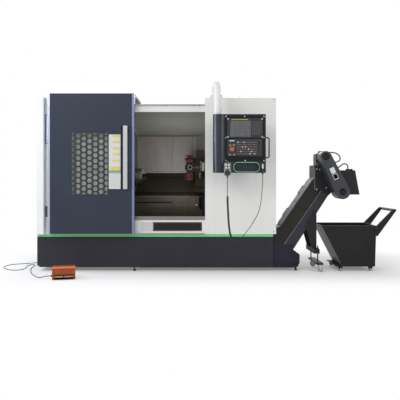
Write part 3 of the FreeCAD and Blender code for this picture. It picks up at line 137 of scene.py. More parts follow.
def makeFloor(look):  # a shadow near the machine, plain white further out
    half = look["floorHalf"]
    mesh = bpy.data.meshes.new("studioFloor")
    mesh.from_pydata([(-half, -half, 0), (half, -half, 0), (half, half, 0), (-half, half, 0)], [],
                     [(0, 1, 2, 3)])
    floor = addObject("studioFloor", mesh)
    material = bpy.data.materials.new("paleFloor")
    tree = emptyTree(material)
    matt = addNode(tree, "ShaderNodeBsdfDiffuse", {"Color": (*look["floorColour"], 1.0)})
    glow = addNode(tree, "ShaderNodeEmission", {"Strength": 1.0})
    away = addNode(tree, "ShaderNodeTexCoord", {}).outputs["Object"]
    for operation, second in (("ABSOLUTE", {}), ("SUBTRACT", {1: look["shadowHalf"]}),
                              ("MAXIMUM", {1: (0.0, 0.0, 0.0)})):
        away = addNode(tree, "ShaderNodeVectorMath", {0: away, **second}, operation=operation).outputs[0]
    away = addNode(tree, "ShaderNodeVectorMath", {0: away}, operation="LENGTH").outputs["Value"]
    near, far = look["floorReach"]
    ranged = addNode(tree, "ShaderNodeMapRange",
                     {"From Min": near, "From Max": far, "To Min": look["floorGlow"],
                                                  "Value": away}, interpolation_type="SMOOTHSTEP")
    share = calculate(tree, "MULTIPLY", seenDirectly(tree), ranged.outputs[0])
    mix = addNode(tree, "ShaderNodeMixShader", {0: share, 1: matt.outputs[0], 2: glow.outputs[0]})
    addNode(tree, "ShaderNodeOutputMaterial", {"Surface": mix.outputs[0]})
    mesh.materials.append(material)


scene.view_settings.view_transform = "Standard"
makeCamera(cameraLook)
for lampName, lampValues in lampLook.items():
    softLamp(lampName, lampValues)
makeSky(stageLook)
makeFloor(stageLook)
print("stage ready")


# finishes
def startFinish(name):
    material = bpy.data.materials.new(name)
    tree = emptyTree(material)
    shader = addNode(tree, "ShaderNodeBsdfPrincipled", {})
    addNode(tree, "ShaderNodeOutputMaterial", {"Surface": shader.outputs[0]})
    return material, tree, shader


def setShader(tree, shader, **values):  # Base_Color stands for the input "Base Color"
    for key, value in values.items():
        socket = shader.inputs[key.replace("_", " ")]
        if isinstance(value, bpy.types.NodeSocket):
            tree.links.new(value, socket)
        else:
            socket.default_value = value


def placeOn(tree, stretch=(1.0, 1.0, 1.0), turn=(0.0, 0.0, 0.0)):  # object coordinates, stretched for grain
    where = addNode(tree, "ShaderNodeTexCoord", {}).outputs["Object"]
    return addNode(tree, "ShaderNodeMapping",
                   {"Scale": stretch, "Rotation": turn, "Vector": where}).outputs[0]


def cloudy(tree, place, size, detail=3.0, rough=0.55):  # noise whose patches are about size metres
    return addNode(tree, "ShaderNodeTexNoise", {"Scale": 1.0 / size, "Detail": detail, "Roughness": rough,
                                                "Vector": place}).outputs["Fac"]


def spread(tree, value, low, high, fromLow=0.3, fromHigh=0.7):
    return addNode(tree, "ShaderNodeMapRange", {"From Min": fromLow, "From Max": fromHigh, "To Min": low,
                                                "To Max": high, "Value": value}).outputs[0]


def blendColours(tree, share, first, second):
    first, second = [(*colour, 1.0) if isinstance(colour, tuple) else colour for colour in (first, second)]
    return addNode(tree, "ShaderNodeMix", {"A": first, "B": second, "Factor": share},
                   data_type="RGBA").outputs["Result"]


def bumpy(tree, height, depth, strength):
    return addNode(tree, "ShaderNodeBump",
                   {"Distance": depth, "Strength": strength, "Height": height}).outputs[0]


def edgeWearAndHighlight(tree, radius):  # 1 on edges, 0 on flats; it makes both edge wear and a painted edge highlight
    rounded = addNode(tree, "ShaderNodeBevel", {"Radius": radius}, samples=4).outputs[0]
    plain = addNode(tree, "ShaderNodeNewGeometry", {}).outputs["True Normal"]
    alike = addNode(tree, "ShaderNodeVectorMath", {0: rounded, 1: plain}, operation="DOT_PRODUCT")
    return spread(tree, calculate(tree, "SUBTRACT", 1.0, alike.outputs["Value"]), 0.0, 1.0, 0.02, 0.22)


def fadeAlong(tree, colour, fades):  # each fade blends to another tone along one axis of the machine
    for axis, reach, tone in fades:
        where = addNode(tree, "ShaderNodeTexCoord", {}).outputs["Object"]
        parts = addNode(tree, "ShaderNodeSeparateXYZ", {0: where}).outputs
        colour = blendColours(tree, spread(tree, parts[axis], 0.0, 1.0, *reach), colour, tone)
    return colour


def darker(colour, share):
    return tuple(channel * share for channel in colour)


def paintFinish(name, colour, uneven, rough, grime, spec, patch=0.5, streak=0.7, grain=0.0028, depth=0.00022,
                coat=0.0, edge=0.0, edgeSize=0.003, edgeColour=None, fades=()):
    # sprayed or powder-coated sheet: soft patches, fine orange peel, paler edges that are wear and also a
    # painted highlight
    material, tree, shader = startFinish(name)
    place = placeOn(tree)
    patches = cloudy(tree, place, patch, 4.0)
    tone = blendColours(tree, spread(tree, patches, 0.0, 1.0), darker(colour, 1.0 - uneven), colour)
    streaks = cloudy(tree, placeOn(tree, (9.0, 9.0, 1.0)), streak, 5.0, 0.6)
    tone = blendColours(tree, spread(tree, streaks, 0.0, grime, 0.5, 0.78), fadeAlong(tree, tone, fades),
                        darker(colour, 0.45))
    if edge > 0.0:
        wornAndLit = calculate(tree, "MULTIPLY", edgeWearAndHighlight(tree, edgeSize), edge)
        broken = calculate(tree, "MULTIPLY", wornAndLit, spread(tree, cloudy(tree, place, 0.03, 5.0), 0.25, 1.0))
        tone = blendColours(tree, broken, tone, edgeColour)
    peel = cloudy(tree, place, grain, 2.0)
    shine = calculate(tree, "ADD", spread(tree, patches, -0.04, 0.04), rough)
    setShader(tree, shader, Base_Color=tone, Normal=bumpy(tree, peel, depth, 0.5), Coat_Weight=coat,
              Roughness=calculate(tree, "ADD", shine, spread(tree, peel, -0.03, 0.03)),
              Coat_Roughness=0.25, Specular_IOR_Level=spec)
    return material


def steelFinish(name, colour, stretch, grain, rough, patch=0.12, depth=0.00008, metal=1.0, stainColour=None,
                fades=()):
    # bare metal with grain along one axis: stretched noise drives colour, roughness and a fine bump
    material, tree, shader = startFinish(name)
    lines = cloudy(tree, placeOn(tree, stretch), grain, 6.0, 0.65)
    patches = cloudy(tree, placeOn(tree), patch, 4.0)
    fine = blendColours(tree, spread(tree, lines, 0.0, 1.0), darker(colour, 0.72), colour)
    tone = blendColours(tree, spread(tree, patches, 0.0, 0.25, 0.42, 0.75), fine,
                        stainColour or darker(colour, 0.45))
    setShader(tree, shader, Base_Color=fadeAlong(tree, tone, fades), Normal=bumpy(tree, lines, depth, 0.6),
              Roughness=calculate(tree, "ADD", spread(tree, lines, rough - 0.09, rough + 0.09),
                                  spread(tree, patches, -0.04, 0.06)), Metallic=metal)
    return material


def mouldFinish(name, colour, rough, patch=0.06, dust=0.18, coat=0.0):
    # moulded plastic or rubber: fine spark-eroded texture and rubbed, dusty patches
    material, tree, shader = startFinish(name)
    place = placeOn(tree)
    patches = cloudy(tree, place, patch, 4.0)
    tone = blendColours(tree, spread(tree, patches, 0.0, 1.0), darker(colour, 0.82), colour)
    normal = addNode(tree, "ShaderNodeNewGeometry", {}).outputs["Normal"]
    upward = addNode(tree, "ShaderNodeSeparateXYZ", {0: normal}).outputs["Z"]
    settled = calculate(tree, "MULTIPLY", spread(tree, upward, 0.0, dust, 0.2, 1.0),
                        spread(tree, patches, 0.3, 1.0))
    setShader(tree, shader, Base_Color=blendColours(tree, settled, tone, (0.36, 0.35, 0.33)),
              Coat_Weight=coat, Roughness=spread(tree, patches, rough - 0.07, rough + 0.07),
              Normal=bumpy(tree, cloudy(tree, place, 0.0012, 2.0), 0.00012, 0.5))
    return material


def paneFinish(name, colour, filmColour, rough, clear, patch, fades):
    # clear polycarbonate with fine scratches, patches of dried coolant film, and darker towards its left and
    # top edges
    material, tree, shader = startFinish(name)
    film = cloudy(tree, placeOn(tree), patch, 5.0)
    tone = blendColours(tree, spread(tree, film, 0.0, 0.9, 0.42, 0.62), colour, filmColour)
    scratches = cloudy(tree, placeOn(tree, (3.0, 1.0, 60.0), (0.0, 0.6, 0.0)), 0.02, 4.0, 0.7)
    setShader(tree, shader, Base_Color=fadeAlong(tree, tone, fades), Transmission_Weight=clear, IOR=1.58,
              Roughness=spread(tree, film, rough, rough + 0.15), Normal=bumpy(tree, scratches, 0.00004, 0.4))
    return material


def screenFinish(name, rowColours, lineColour, paintedReflectionColour):
    # dark glass over a plain display: faint blank rows and columns, no words, and soft streaks of painted
    # reflection
    material, tree, shader = startFinish(name)
    place = placeOn(tree)
    upright = addNode(tree, "ShaderNodeMapping", {"Rotation": (math.radians(90.0), 0.0, 0.0),
                                                  "Location": (0.0135, 0.0, 0.009), "Vector": place})
    rows = addNode(tree, "ShaderNodeTexBrick", {
        "Scale": 1.0, "Brick Width": 0.058, "Row Height": 0.0175, "Mortar Size": 0.0009,
        "Color1": (*rowColours[0], 1.0), "Color2": (*rowColours[1], 1.0), "Mortar": (*lineColour, 1.0),
        "Vector": upright.outputs[0]}, offset=0.0)
    # lighter streaks on the glass: a painted reflection
    sheen = spread(tree, cloudy(tree, placeOn(tree, (1.0, 1.0, 0.4), (0.0, 0.5, 0.0)), 0.12, 2.0), 0.0, 0.3)
    smudges = cloudy(tree, place, 0.05, 5.0)
    setShader(tree, shader, Base_Color=blendColours(tree, sheen, rows.outputs["Color"], paintedReflectionColour),
              Roughness=spread(tree, smudges, 0.06, 0.22), Normal=bumpy(tree, smudges, 0.00004, 0.3))
    return material


# colour, unevenness, roughness, grime and specular level of each paint, and what else it has
paintLook = {
    "whitePaint": ((0.745, 0.745, 0.73), 0.03, 0.42, 0.08, 0.5, {"coat": 0.08}),
    "navyPaint": ((0.030, 0.038, 0.060), 0.14, 0.42, 0.12, 0.2,
                  {"edge": 0.22, "edgeColour": (0.16, 0.18, 0.23)}),
    "pendantPaint": ((0.014, 0.018, 0.032), 0.14, 0.28, 0.1, 0.38,
                     {"edge": 0.2, "edgeColour": (0.12, 0.13, 0.18)}),
    "platePaint": ((0.009, 0.010, 0.014), 0.2, 0.5, 0.1, 0.15,
                   {"edge": 0.3, "edgeColour": (0.10, 0.10, 0.12)}),
    "charcoalPaint": ((0.027, 0.027, 0.036), 0.2, 0.48, 0.14, 0.18,
                      {"edge": 0.25, "edgeColour": (0.12, 0.12, 0.14)}),
    "greenPaint": ((0.16, 0.60, 0.24), 0.08, 0.38, 0.14, 0.3, {}),
    "conveyorPaint": ((0.016, 0.016, 0.019), 0.2, 0.46, 0.16, 0.18,
                      {"edge": 0.4, "edgeColour": (0.16, 0.16, 0.17)}),
    "coverPaint": ((0.17, 0.17, 0.175), 0.12, 0.42, 0.3, 0.3, {"edge": 0.3, "edgeColour": (0.5, 0.5, 0.5)}),
    "motorPaint": ((0.014, 0.0145, 0.017), 0.2, 0.4, 0.2, 0.25,
                   {"edge": 0.3, "edgeColour": (0.2, 0.2, 0.2)}),
    "cartPaint": ((0.017, 0.0165, 0.016), 0.3, 0.5, 0.3, 0.15,
                  {"patch": 0.2, "edge": 0.55, "edgeColour": (0.22, 0.21, 0.18)}),
    "orangePaint": ((0.36, 0.068, 0.014), 0.14, 0.36, 0.2, 0.25,
                    {"patch": 0.05, "grain": 0.006, "depth": 0.0006, "edge": 0.35,
                     "edgeColour": (0.62, 0.25, 0.12)}),
    "holderRed": ((0.034, 0.0065, 0.0065), 0.3, 0.36, 0.3, 0.3,
                  {"patch": 0.04, "edge": 0.5, "edgeSize": 0.002, "edgeColour": (0.30, 0.22, 0.20)}),
    "guardPaint": ((0.052, 0.041, 0.028), 0.35, 0.36, 0.5, 0.3, {"patch": 0.2, "streak": 0.2}),
    "linerPaint": ((0.158, 0.144, 0.134), 0.16, 0.38, 0.5, 0.4,
                   {"patch": 0.3, "streak": 0.3, "fades": (("Y", (0.394, 0.38), (0.135, 0.138, 0.118)),)}),
    "rimDark": ((0.13, 0.13, 0.138), 0.2, 0.42, 0.3, 0.3, {}),
    "plateAlloy": ((0.60, 0.60, 0.60), 0.08, 0.35, 0.2, 0.4, {"patch": 0.1}),
    "plateBlank": ((0.013, 0.013, 0.014), 0.25, 0.34, 0.2, 0.2, {"patch": 0.1}),
    "oliveDark": ((0.017, 0.0165, 0.013), 0.3, 0.44, 0.2, 0.2, {"patch": 0.25}),
    "bandBlue": ((0.029, 0.031, 0.040), 0.18, 0.44, 0.15, 0.2, {}),
    "footBlue": ((0.016, 0.016, 0.027), 0.2, 0.44, 0.15, 0.2, {}),
    # the drive guard's paler edges are a painted rim highlight
    "guardBlue": ((0.038, 0.042, 0.052), 0.15, 0.42, 0.15, 0.25,
                  {"edge": 0.4, "edgeColour": (0.14, 0.15, 0.17)}),
    # pale grey painted highlights along folds, flange edges and the cart rim
    "foldEdge": ((0.30, 0.31, 0.33), 0.2, 0.4, 0.2, 0.3, {}),
    "cartEnd": ((0.15, 0.14, 0.13), 0.25, 0.45, 0.4, 0.3, {"patch": 0.2}),
    "browOrange": ((0.66, 0.22, 0.09), 0.1, 0.3, 0.1, 0.4, {}),
    "turretBlack": ((0.0055, 0.0055, 0.006), 0.3, 0.42, 0.1, 0.12,
                    {"patch": 0.04, "edge": 0.5, "edgeSize": 0.002, "edgeColour": (0.12, 0.115, 0.11)}),
    "ventBlack": ((0.0045, 0.0045, 0.005), 0.2, 0.7, 0.1, 0.04, {}),
    "rimEdge": ((0.035, 0.035, 0.04), 0.2, 0.42, 0.2, 0.2, {}),
    "recessPale": ((0.62, 0.64, 0.68), 0.05, 0.42, 0.1, 0.3, {}),
    "sidePaint": ((0.075, 0.070, 0.060), 0.2, 0.42, 0.5, 0.3, {"patch": 0.3, "streak": 0.3}),
    "olivePaint": ((0.115, 0.115, 0.100), 0.15, 0.42, 0.3, 0.3, {}),
    "panelBrown": ((0.060, 0.050, 0.033), 0.3, 0.34, 0.5, 0.35, {"patch": 0.15, "streak": 0.2}),
    # painted shadow: the dark blue of the strip along the inner edge of the right housing
    "stripBlue": ((0.007, 0.008, 0.022), 0.2, 0.5, 0.2, 0.08, {}),
    "cardPale": ((0.62, 0.62, 0.60), 0.05, 0.5, 0.12, 0.3, {"patch": 0.1}),
    "cardBand": ((0.62, 0.55, 0.16), 0.05, 0.5, 0.12, 0.3, {"patch": 0.1}),
    "ruleGrey": ((0.42, 0.42, 0.43), 0.05, 0.5, 0.1, 0.3, {"patch": 0.1}),
    "rimGreen": ((0.20, 0.60, 0.30), 0.06, 0.4, 0.1, 0.3, {}),
    "ochreStrip": ((0.42, 0.30, 0.07), 0.1, 0.4, 0.2, 0.3, {"patch": 0.03}),
    "casterCream": ((0.50, 0.49, 0.46), 0.2, 0.5, 0.3, 0.5, {"patch": 0.03}),
}
# colour, stretch of the grain, its size and roughness of each bare metal
steelLook = {
    "stainlessSteel": ((0.26, 0.245, 0.225), (1.0, 40.0, 40.0), 0.03, 0.34, {}),
    "groundSteel": ((0.40, 0.37, 0.33), (60.0, 1.0, 1.0), 0.02, 0.26, {}),
    "jawSteel": ((0.34, 0.33, 0.32), (40.0, 1.0, 1.0), 0.02, 0.33, {}),
    "casterSteel": ((0.55, 0.55, 0.54), (1.0, 1.0, 1.0), 0.006, 0.4, {}),
    "edgeSteel": ((0.46, 0.45, 0.42), (1.0, 30.0, 30.0), 0.02, 0.3, {}),
    "boltBright": ((0.80, 0.80, 0.78), (1.0, 1.0, 1.0), 0.002, 0.35, {}),
    # painted light in trimAlloy: its pale lavender is a painted highlight, and from x -1.4 rightwards it
    # fades to a darker painted shade
    "trimAlloy": ((0.48, 0.52, 0.66), (60.0, 60.0, 1.0), 0.05, 0.3,
                  {"fades": (("X", (-1.5, -1.4), (0.2, 0.235, 0.36)),)}),
    "handleAlloy": ((0.62, 0.62, 0.63), (60.0, 60.0, 1.0), 0.04, 0.28, {}),
    "zincSteel": ((0.42, 0.42, 0.42), (1.0, 1.0, 1.0), 0.01, 0.4, {}),
    "bedIron": ((0.020, 0.017, 0.011), (1.0, 1.0, 1.0), 0.004, 0.45,
                {"depth": 0.0004, "patch": 0.1, "metal": 0.3, "stainColour": (0.010, 0.009, 0.007)}),
    "screwSteel": ((0.62, 0.62, 0.62), (1.0, 1.0, 1.0), 0.002, 0.3, {}),
}
# colour and roughness of each moulded piece
mouldLook = {
    "grilleBlack": ((0.012, 0.014, 0.018), 0.5, {}),
    "panelBlack": ((0.012, 0.012, 0.014), 0.45, {"patch": 0.03}),
    "pulseGrey": ((0.42, 0.42, 0.42), 0.4, {"patch": 0.03}),
    "keyGrey": ((0.10, 0.105, 0.11), 0.45, {"patch": 0.02, "dust": 0.05}),
    "keyRed": ((0.20, 0.020, 0.022), 0.4, {"patch": 0.02, "dust": 0.05}),
    "keyPale": ((0.55, 0.55, 0.52), 0.4, {"patch": 0.02, "dust": 0.05}),
    "capTeal": ((0.30, 0.42, 0.43), 0.35, {"patch": 0.02, "dust": 0.05}),
    "buttonRed": ((0.62, 0.062, 0.022), 0.28, {"coat": 0.2, "patch": 0.01, "dust": 0.05}),
    "buttonGreen": ((0.035, 0.30, 0.10), 0.28, {"coat": 0.2, "patch": 0.01, "dust": 0.05}),
    "wheelRubber": ((0.030, 0.030, 0.032), 0.6, {"patch": 0.02, "dust": 0.4}),
    "treadRubber": ((0.30, 0.27, 0.21), 0.5, {"patch": 0.02, "dust": 0.2}),
    "cordJacket": ((0.007, 0.007, 0.008), 0.6, {"patch": 0.03, "dust": 0.05}),
}
paneLook = {"colour": (0.36, 0.41, 0.39), "filmColour": (0.54, 0.58, 0.49), "rough": 0.12, "clear": 0.55,
            "patch": 0.10,
            "fades": (("X", (-1.545, -1.600), (0.15, 0.17, 0.17)),
                      ("Z", (1.470, 1.530), (0.19, 0.215, 0.215)))}
screenLook = {"rowColours": ((0.058, 0.064, 0.070), (0.070, 0.078, 0.085)), "lineColour": (0.12, 0.125, 0.13),
              "paintedReflectionColour": (0.17, 0.175, 0.18)}

finishes = {"windowPane": paneFinish("windowPane", **paneLook),
            "screenGlass": screenFinish("screenGlass", **screenLook)}
for makeFinish, table in ((paintFinish, paintLook), (steelFinish, steelLook), (mouldFinish, mouldLook)):
    for finishName, (*mainValues, more) in table.items():
        finishes[finishName] = makeFinish(finishName, *mainValues, **more)

nodeFinish = {
    "whitePaint": "left_enclosure right_enclosure front_frame rear_cabinet pendant_arm",
    "navyPaint": "door_shell",
    "pendantPaint": "pendant_case",
    "charcoalPaint": "base_frame",
    "greenPaint": "green_strip",
    "conveyorPaint": "conveyor_trough conveyor_head_box discharge_hood support_leg",
    "guardBlue": "drive_guard",
    "coverPaint": "conveyor_covers",
    "motorPaint": "gear_motor",
    "cartPaint": "cart_tub cart_handle",
    "orangePaint": "pedal_housing",
    "holderRed": "tool_holders",
    "guardPaint": "bed_guard",
    "linerPaint": "chamber_liner",
    "stainlessSteel": "sill_strip",
    "groundSteel": "spindle chuck_body door_rails",
    "jawSteel": "jaw_1 jaw_2 jaw_3",
    "turretBlack": "turret_disc",
    "trimAlloy": "door_trims",
    "handleAlloy": "door_handle",
    "bedIron": "levelling_feet slant_bed headstock saddle cross_slide",
    "grilleBlack": "door_honeycomb pendant_handle",
    "panelBlack": "screen_unit operator_panel handwheel_dial feed_knob speed_knob",
    "treadRubber": "pedal_left pedal_right",
    "pulseGrey": "handwheel_unit",
    "buttonRed": "estop_button feed_hold_button power_off_button",
    "buttonGreen": "cycle_start_button power_on_button",
    "casterCream": "leg_wheels foot_wheels cart_left_wheels cart_right_wheels",
    "windowPane": "door_window",
}
for finishName, covered in nodeFinish.items():
    for nodeName in covered.split():
        nodeMaterials = nodes[nodeName].data.materials
        nodeMaterials.clear()
        nodeMaterials.append(finishes[finishName])
print("finishes ready:", len(finishes))


# building small pieces
forward, backward, upward = (0.0, -1.0, 0.0), (0.0, 1.0, 0.0), (0.0, 0.0, 1.0)


def meshOf(name, shapes, weld, place=None):  # a shape is a function that adds to the mesh, then its values
    bm = bmesh.new()
    for build, *values in shapes:
        build(bm, *values)
    if place:
        bmesh.ops.transform(bm, matrix=place, verts=bm.verts)
    if weld:
        bmesh.ops.remove_doubles(bm, verts=bm.verts, dist=1e-6)
    bmesh.ops.recalc_face_normals(bm, faces=bm.faces)
    mesh = bpy.data.meshes.new(name)
    bm.to_mesh(mesh)
    bm.free()
    for polygon in mesh.polygons:
        polygon.use_smooth = True
    mesh.set_sharp_from_angle(angle=0.6)
    return mesh


def fixModifiers(piece):  # keeps what the modifiers made as a plain mesh
    shown = piece.evaluated_get(bpy.context.evaluated_depsgraph_get())
    plain = bpy.data.meshes.new_from_object(shown)
    piece.modifiers.clear()
    piece.data = plain


def asPiece(name, finish, shapes, body="machine", bevel=0.0, segments=2, place=None):
    mesh = meshOf(name, shapes, True, place)
    mesh.materials.append(finishes[finish])
    piece = addObject(name, mesh)
    if bevel > 0.0:
        rounding = piece.modifiers.new("rounding", "BEVEL")
        rounding.width = bevel
        rounding.segments = segments
        rounding.limit_method = "ANGLE"
        rounding.harden_normals = True
        fixModifiers(piece)
    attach(piece, body)


def addBox(bm, x, y, z, matrix=None):
    corners = [bm.verts.new((cx, cy, cz)) for cx in x for cy in y for cz in z]
    for loop in ((0, 1, 3, 2), (4, 6, 7, 5), (0, 4, 5, 1), (2, 3, 7, 6), (0, 2, 6, 4), (1, 5, 7, 3)):
        bm.faces.new([corners[i] for i in loop])
    if matrix is not None:
        bmesh.ops.transform(bm, matrix=matrix, verts=corners)


def addLoop(bm, corners, along, axis):
    orders = {"X": lambda u, v: (along, u, v), "Y": lambda u, v: (u, along, v),
              "Z": lambda u, v: (u, v, along)}
    return [bm.verts.new(orders[axis](*pair)) for pair in corners]


def joinLoops(bm, loops):  # a band of faces from each loop to the next
    for ring, follower in zip(loops, loops[1:]):
        for i in range(len(ring)):
            j = (i + 1) % len(ring)
            bm.faces.new((ring[i], ring[j], follower[j], follower[i]))


def addPrism(bm, corners, low, high, axis="Y"):  # an outline pushed along one axis
    front, back = addLoop(bm, corners, low, axis), addLoop(bm, corners, high, axis)
    bm.faces.new(front)
    bm.faces.new(back[::-1])
    for i in range(len(corners)):
        j = (i + 1) % len(corners)
        bm.faces.new((front[i], back[i], back[j], front[j]))


# a closed band between two outlines with the same corners
def addFrame(bm, outer, inner, low, high, axis="Y"):
    loops = [addLoop(bm, pairs, along, axis)
             for pairs, along in ((outer, low), (inner, low), (inner, high), (outer, high))]
    joinLoops(bm, loops + loops[:1])


def roundedOutline(x, z, radius, steps):
    corners = []
    for centreX, centreZ, start in ((x[1] - radius, z[1] - radius, 0), (x[0] + radius, z[1] - radius, 90),
                                    (x[0] + radius, z[0] + radius, 180), (x[1] - radius, z[0] + radius, 270)):
        for i in range(steps + 1):
            angle = math.radians(start + 90 * i / steps)
            corners.append((centreX + radius * math.cos(angle), centreZ + radius * math.sin(angle)))
    return corners


def addSheet(bm, x, z, radius, steps, low, high, axis="Y"):
    addPrism(bm, roundedOutline(x, z, radius, steps), low, high, axis)


def addRim(bm, x, z, width, radii, steps, low, high, axis="Y"):  # a rounded rim, width wide
    inside = (x[0] + width, x[1] - width), (z[0] + width, z[1] - width)
    addFrame(bm, roundedOutline(x, z, radii[0], steps), roundedOutline(*inside, radii[1], steps), low, high,
             axis)


def turnedLoop(bm, centre, axis, radius, along, sides):
    turn = Vector(axis).to_track_quat("Z", "Y").to_matrix()
    return [bm.verts.new(Vector(centre) + turn @ Vector((radius * math.cos(2 * math.pi * i / sides),
                                                         radius * math.sin(2 * math.pi * i / sides), along)))
            for i in range(sides)]


def addTurned(bm, centre, axis, profile, sides=32):  # profile of (along, radius) pairs, turned about an axis
    rings = [turnedLoop(bm, centre, axis, radius, along,
                        sides if radius > 1e-6 else 1) for along, radius in profile]
    for lower, upper in zip(rings, rings[1:]):
        for i in range(sides):
            j = (i + 1) % sides
            if len(lower) == 1:
                bm.faces.new((lower[0], upper[j], upper[i]))
            elif len(upper) == 1:
                bm.faces.new((lower[i], lower[j], upper[0]))
            else:
                bm.faces.new((lower[i], lower[j], upper[j], upper[i]))
    for ends, way in ((rings[0], -1), (rings[-1], 1)):
        if len(ends) > 1:
            bm.faces.new(ends[::way])


def addRing(bm, centre, axis, radii, heights, sides=36):  # closed band between two radii and two heights
    (inner, outer), (low, high) = radii, heights
    loops = [turnedLoop(bm, centre, axis, radius, along, sides)
             for radius, along in ((inner, low), (inner, high), (outer, high), (outer, low))]
    joinLoops(bm, loops + loops[:1])


def onCircle(centre, radius, count, start=0.0):
    angles = [start + 2.0 * math.pi * i / count for i in range(count)]
    return [(centre[0] + radius * math.cos(angle), centre[1] + radius * math.sin(angle)) for angle in angles]


def cornersOf(x, z, inset):
    return [(px, pz) for px in (x[0] + inset, x[1] - inset) for pz in (z[0] + inset, z[1] - inset)]


def onFace(pairs, y):
    return [(x, y, z) for x, z in pairs]


# what repeats, by Geometry Nodes
repeatInputs = {"Points": "Geometry", "Unit": "Object", "Unit Size": "Vector", "Turn Spread": "Float",
                "Seed": "Int", "Finish": "Material"}


def repeatTree():
    # puts one unit on every point; the point's "facing" vector is where the unit's +Z goes
    tree = bpy.data.node_groups.new("unitsOnPoints", "GeometryNodeTree")
    sockets = {label: tree.interface.new_socket(name=label, in_out="INPUT", socket_type="NodeSocket" + kind)
               for label, kind in repeatInputs.items()}
    tree.interface.new_socket(name="Geometry", in_out="OUTPUT", socket_type="NodeSocketGeometry")
    given = addNode(tree, "NodeGroupInput", {}).outputs
    facing = addNode(tree, "GeometryNodeInputNamedAttribute", {"Name": "facing"}, data_type="FLOAT_VECTOR")
    turned = addNode(tree, "FunctionNodeAlignRotationToVector", {"Vector": facing.outputs["Attribute"]},
                     axis="Z")
    chance = addNode(tree, "FunctionNodeRandomValue", {"Max": given["Turn Spread"], "Seed": given["Seed"]},
                     data_type="FLOAT")
    spin = addNode(tree, "ShaderNodeCombineXYZ", {"Z": chance.outputs["Value"]})
    local = addNode(tree, "FunctionNodeRotateRotation",
                    {"Rotation": turned.outputs[0], "Rotate By": spin.outputs[0]}, rotation_space="LOCAL")
    unit = addNode(tree, "GeometryNodeObjectInfo", {"Object": given["Unit"]}, transform_space="ORIGINAL")
    placed = addNode(tree, "GeometryNodeInstanceOnPoints", {
        "Points": given["Points"], "Instance": unit.outputs["Geometry"], "Rotation": local.outputs[0],
        "Scale": given["Unit Size"]})
    real = addNode(tree, "GeometryNodeRealizeInstances", {0: placed.outputs[0]})
    coloured = addNode(tree, "GeometryNodeSetMaterial",
                       {"Geometry": real.outputs[0], "Material": given["Finish"]})
    addNode(tree, "NodeGroupOutput", {0: coloured.outputs[0]})
    return tree, sockets


repeatGroup, repeatSockets = repeatTree()
unitsMade = []


def unitObject(name, shapes):  # a unit for repeatUnits; it is deleted once everything is placed
    unitsMade.append(addObject(name, meshOf(name, shapes, False)))
    return unitsMade[-1]


def repeatUnits(name, unit, finish, places, facings, width, height, seed=3, body="machine", slot=None,
                turnSpread=1.0):
    mesh = bpy.data.meshes.new(name)
    mesh.from_pydata([tuple(place) for place in places], [], [])
    attribute = mesh.attributes.new("facing", "FLOAT_VECTOR", "POINT")
    if isinstance(facings, tuple):
        facings = [facings] * len(places)
    for value, facing in zip(attribute.data, facings):
        value.vector = facing
    piece = addObject(name, mesh)
    modifier = piece.modifiers.new("units", "NODES")
    modifier.node_group = repeatGroup
    for label, value in (("Unit", unit), ("Unit Size", (width, width, height)), ("Turn Spread", turnSpread),
                         ("Seed", seed), ("Finish", finishes[finish])):
        modifier[repeatSockets[label].identifier] = value
    fixModifiers(piece)
    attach(piece, body)
    return piece


def sinkSocket(bm):  # a hexagon socket in the top of what is there
    bm.faces.ensure_lookup_table()
    top = max(bm.faces, key=lambda face: face.calc_center_median().z)
    bmesh.ops.inset_individual(bm, faces=[top], thickness=0.09)
    sunk = bmesh.ops.extrude_discrete_faces(bm, faces=[top])["faces"]
    bmesh.ops.translate(bm, verts=list(sunk[0].verts), vec=(0, 0, -0.22))


origin = (0.0, 0.0, 0.0)
screwHead = [(-0.06, 0.46), (0.04, 0.5), (0.20, 0.49), (0.34, 0.42), (0.42, 0.30)]
# units are 1 wide and are scaled where they are placed
screwUnit = unitObject("screwUnit", [(addTurned, origin, upward, screwHead, 20), (sinkSocket,)])
boltUnit = unitObject("boltUnit", [(addTurned, origin, upward, [(-0.04, 0.62), (0.07, 0.62)], 24),
                                   (addTurned, origin, upward, [(0.07, 0.5), (0.34, 0.5), (0.40, 0.43)], 6)])
ribUnit = unitObject("ribUnit", [(addRing, origin, upward, (0.39, 0.50), (-0.13, 0.13), 20)])


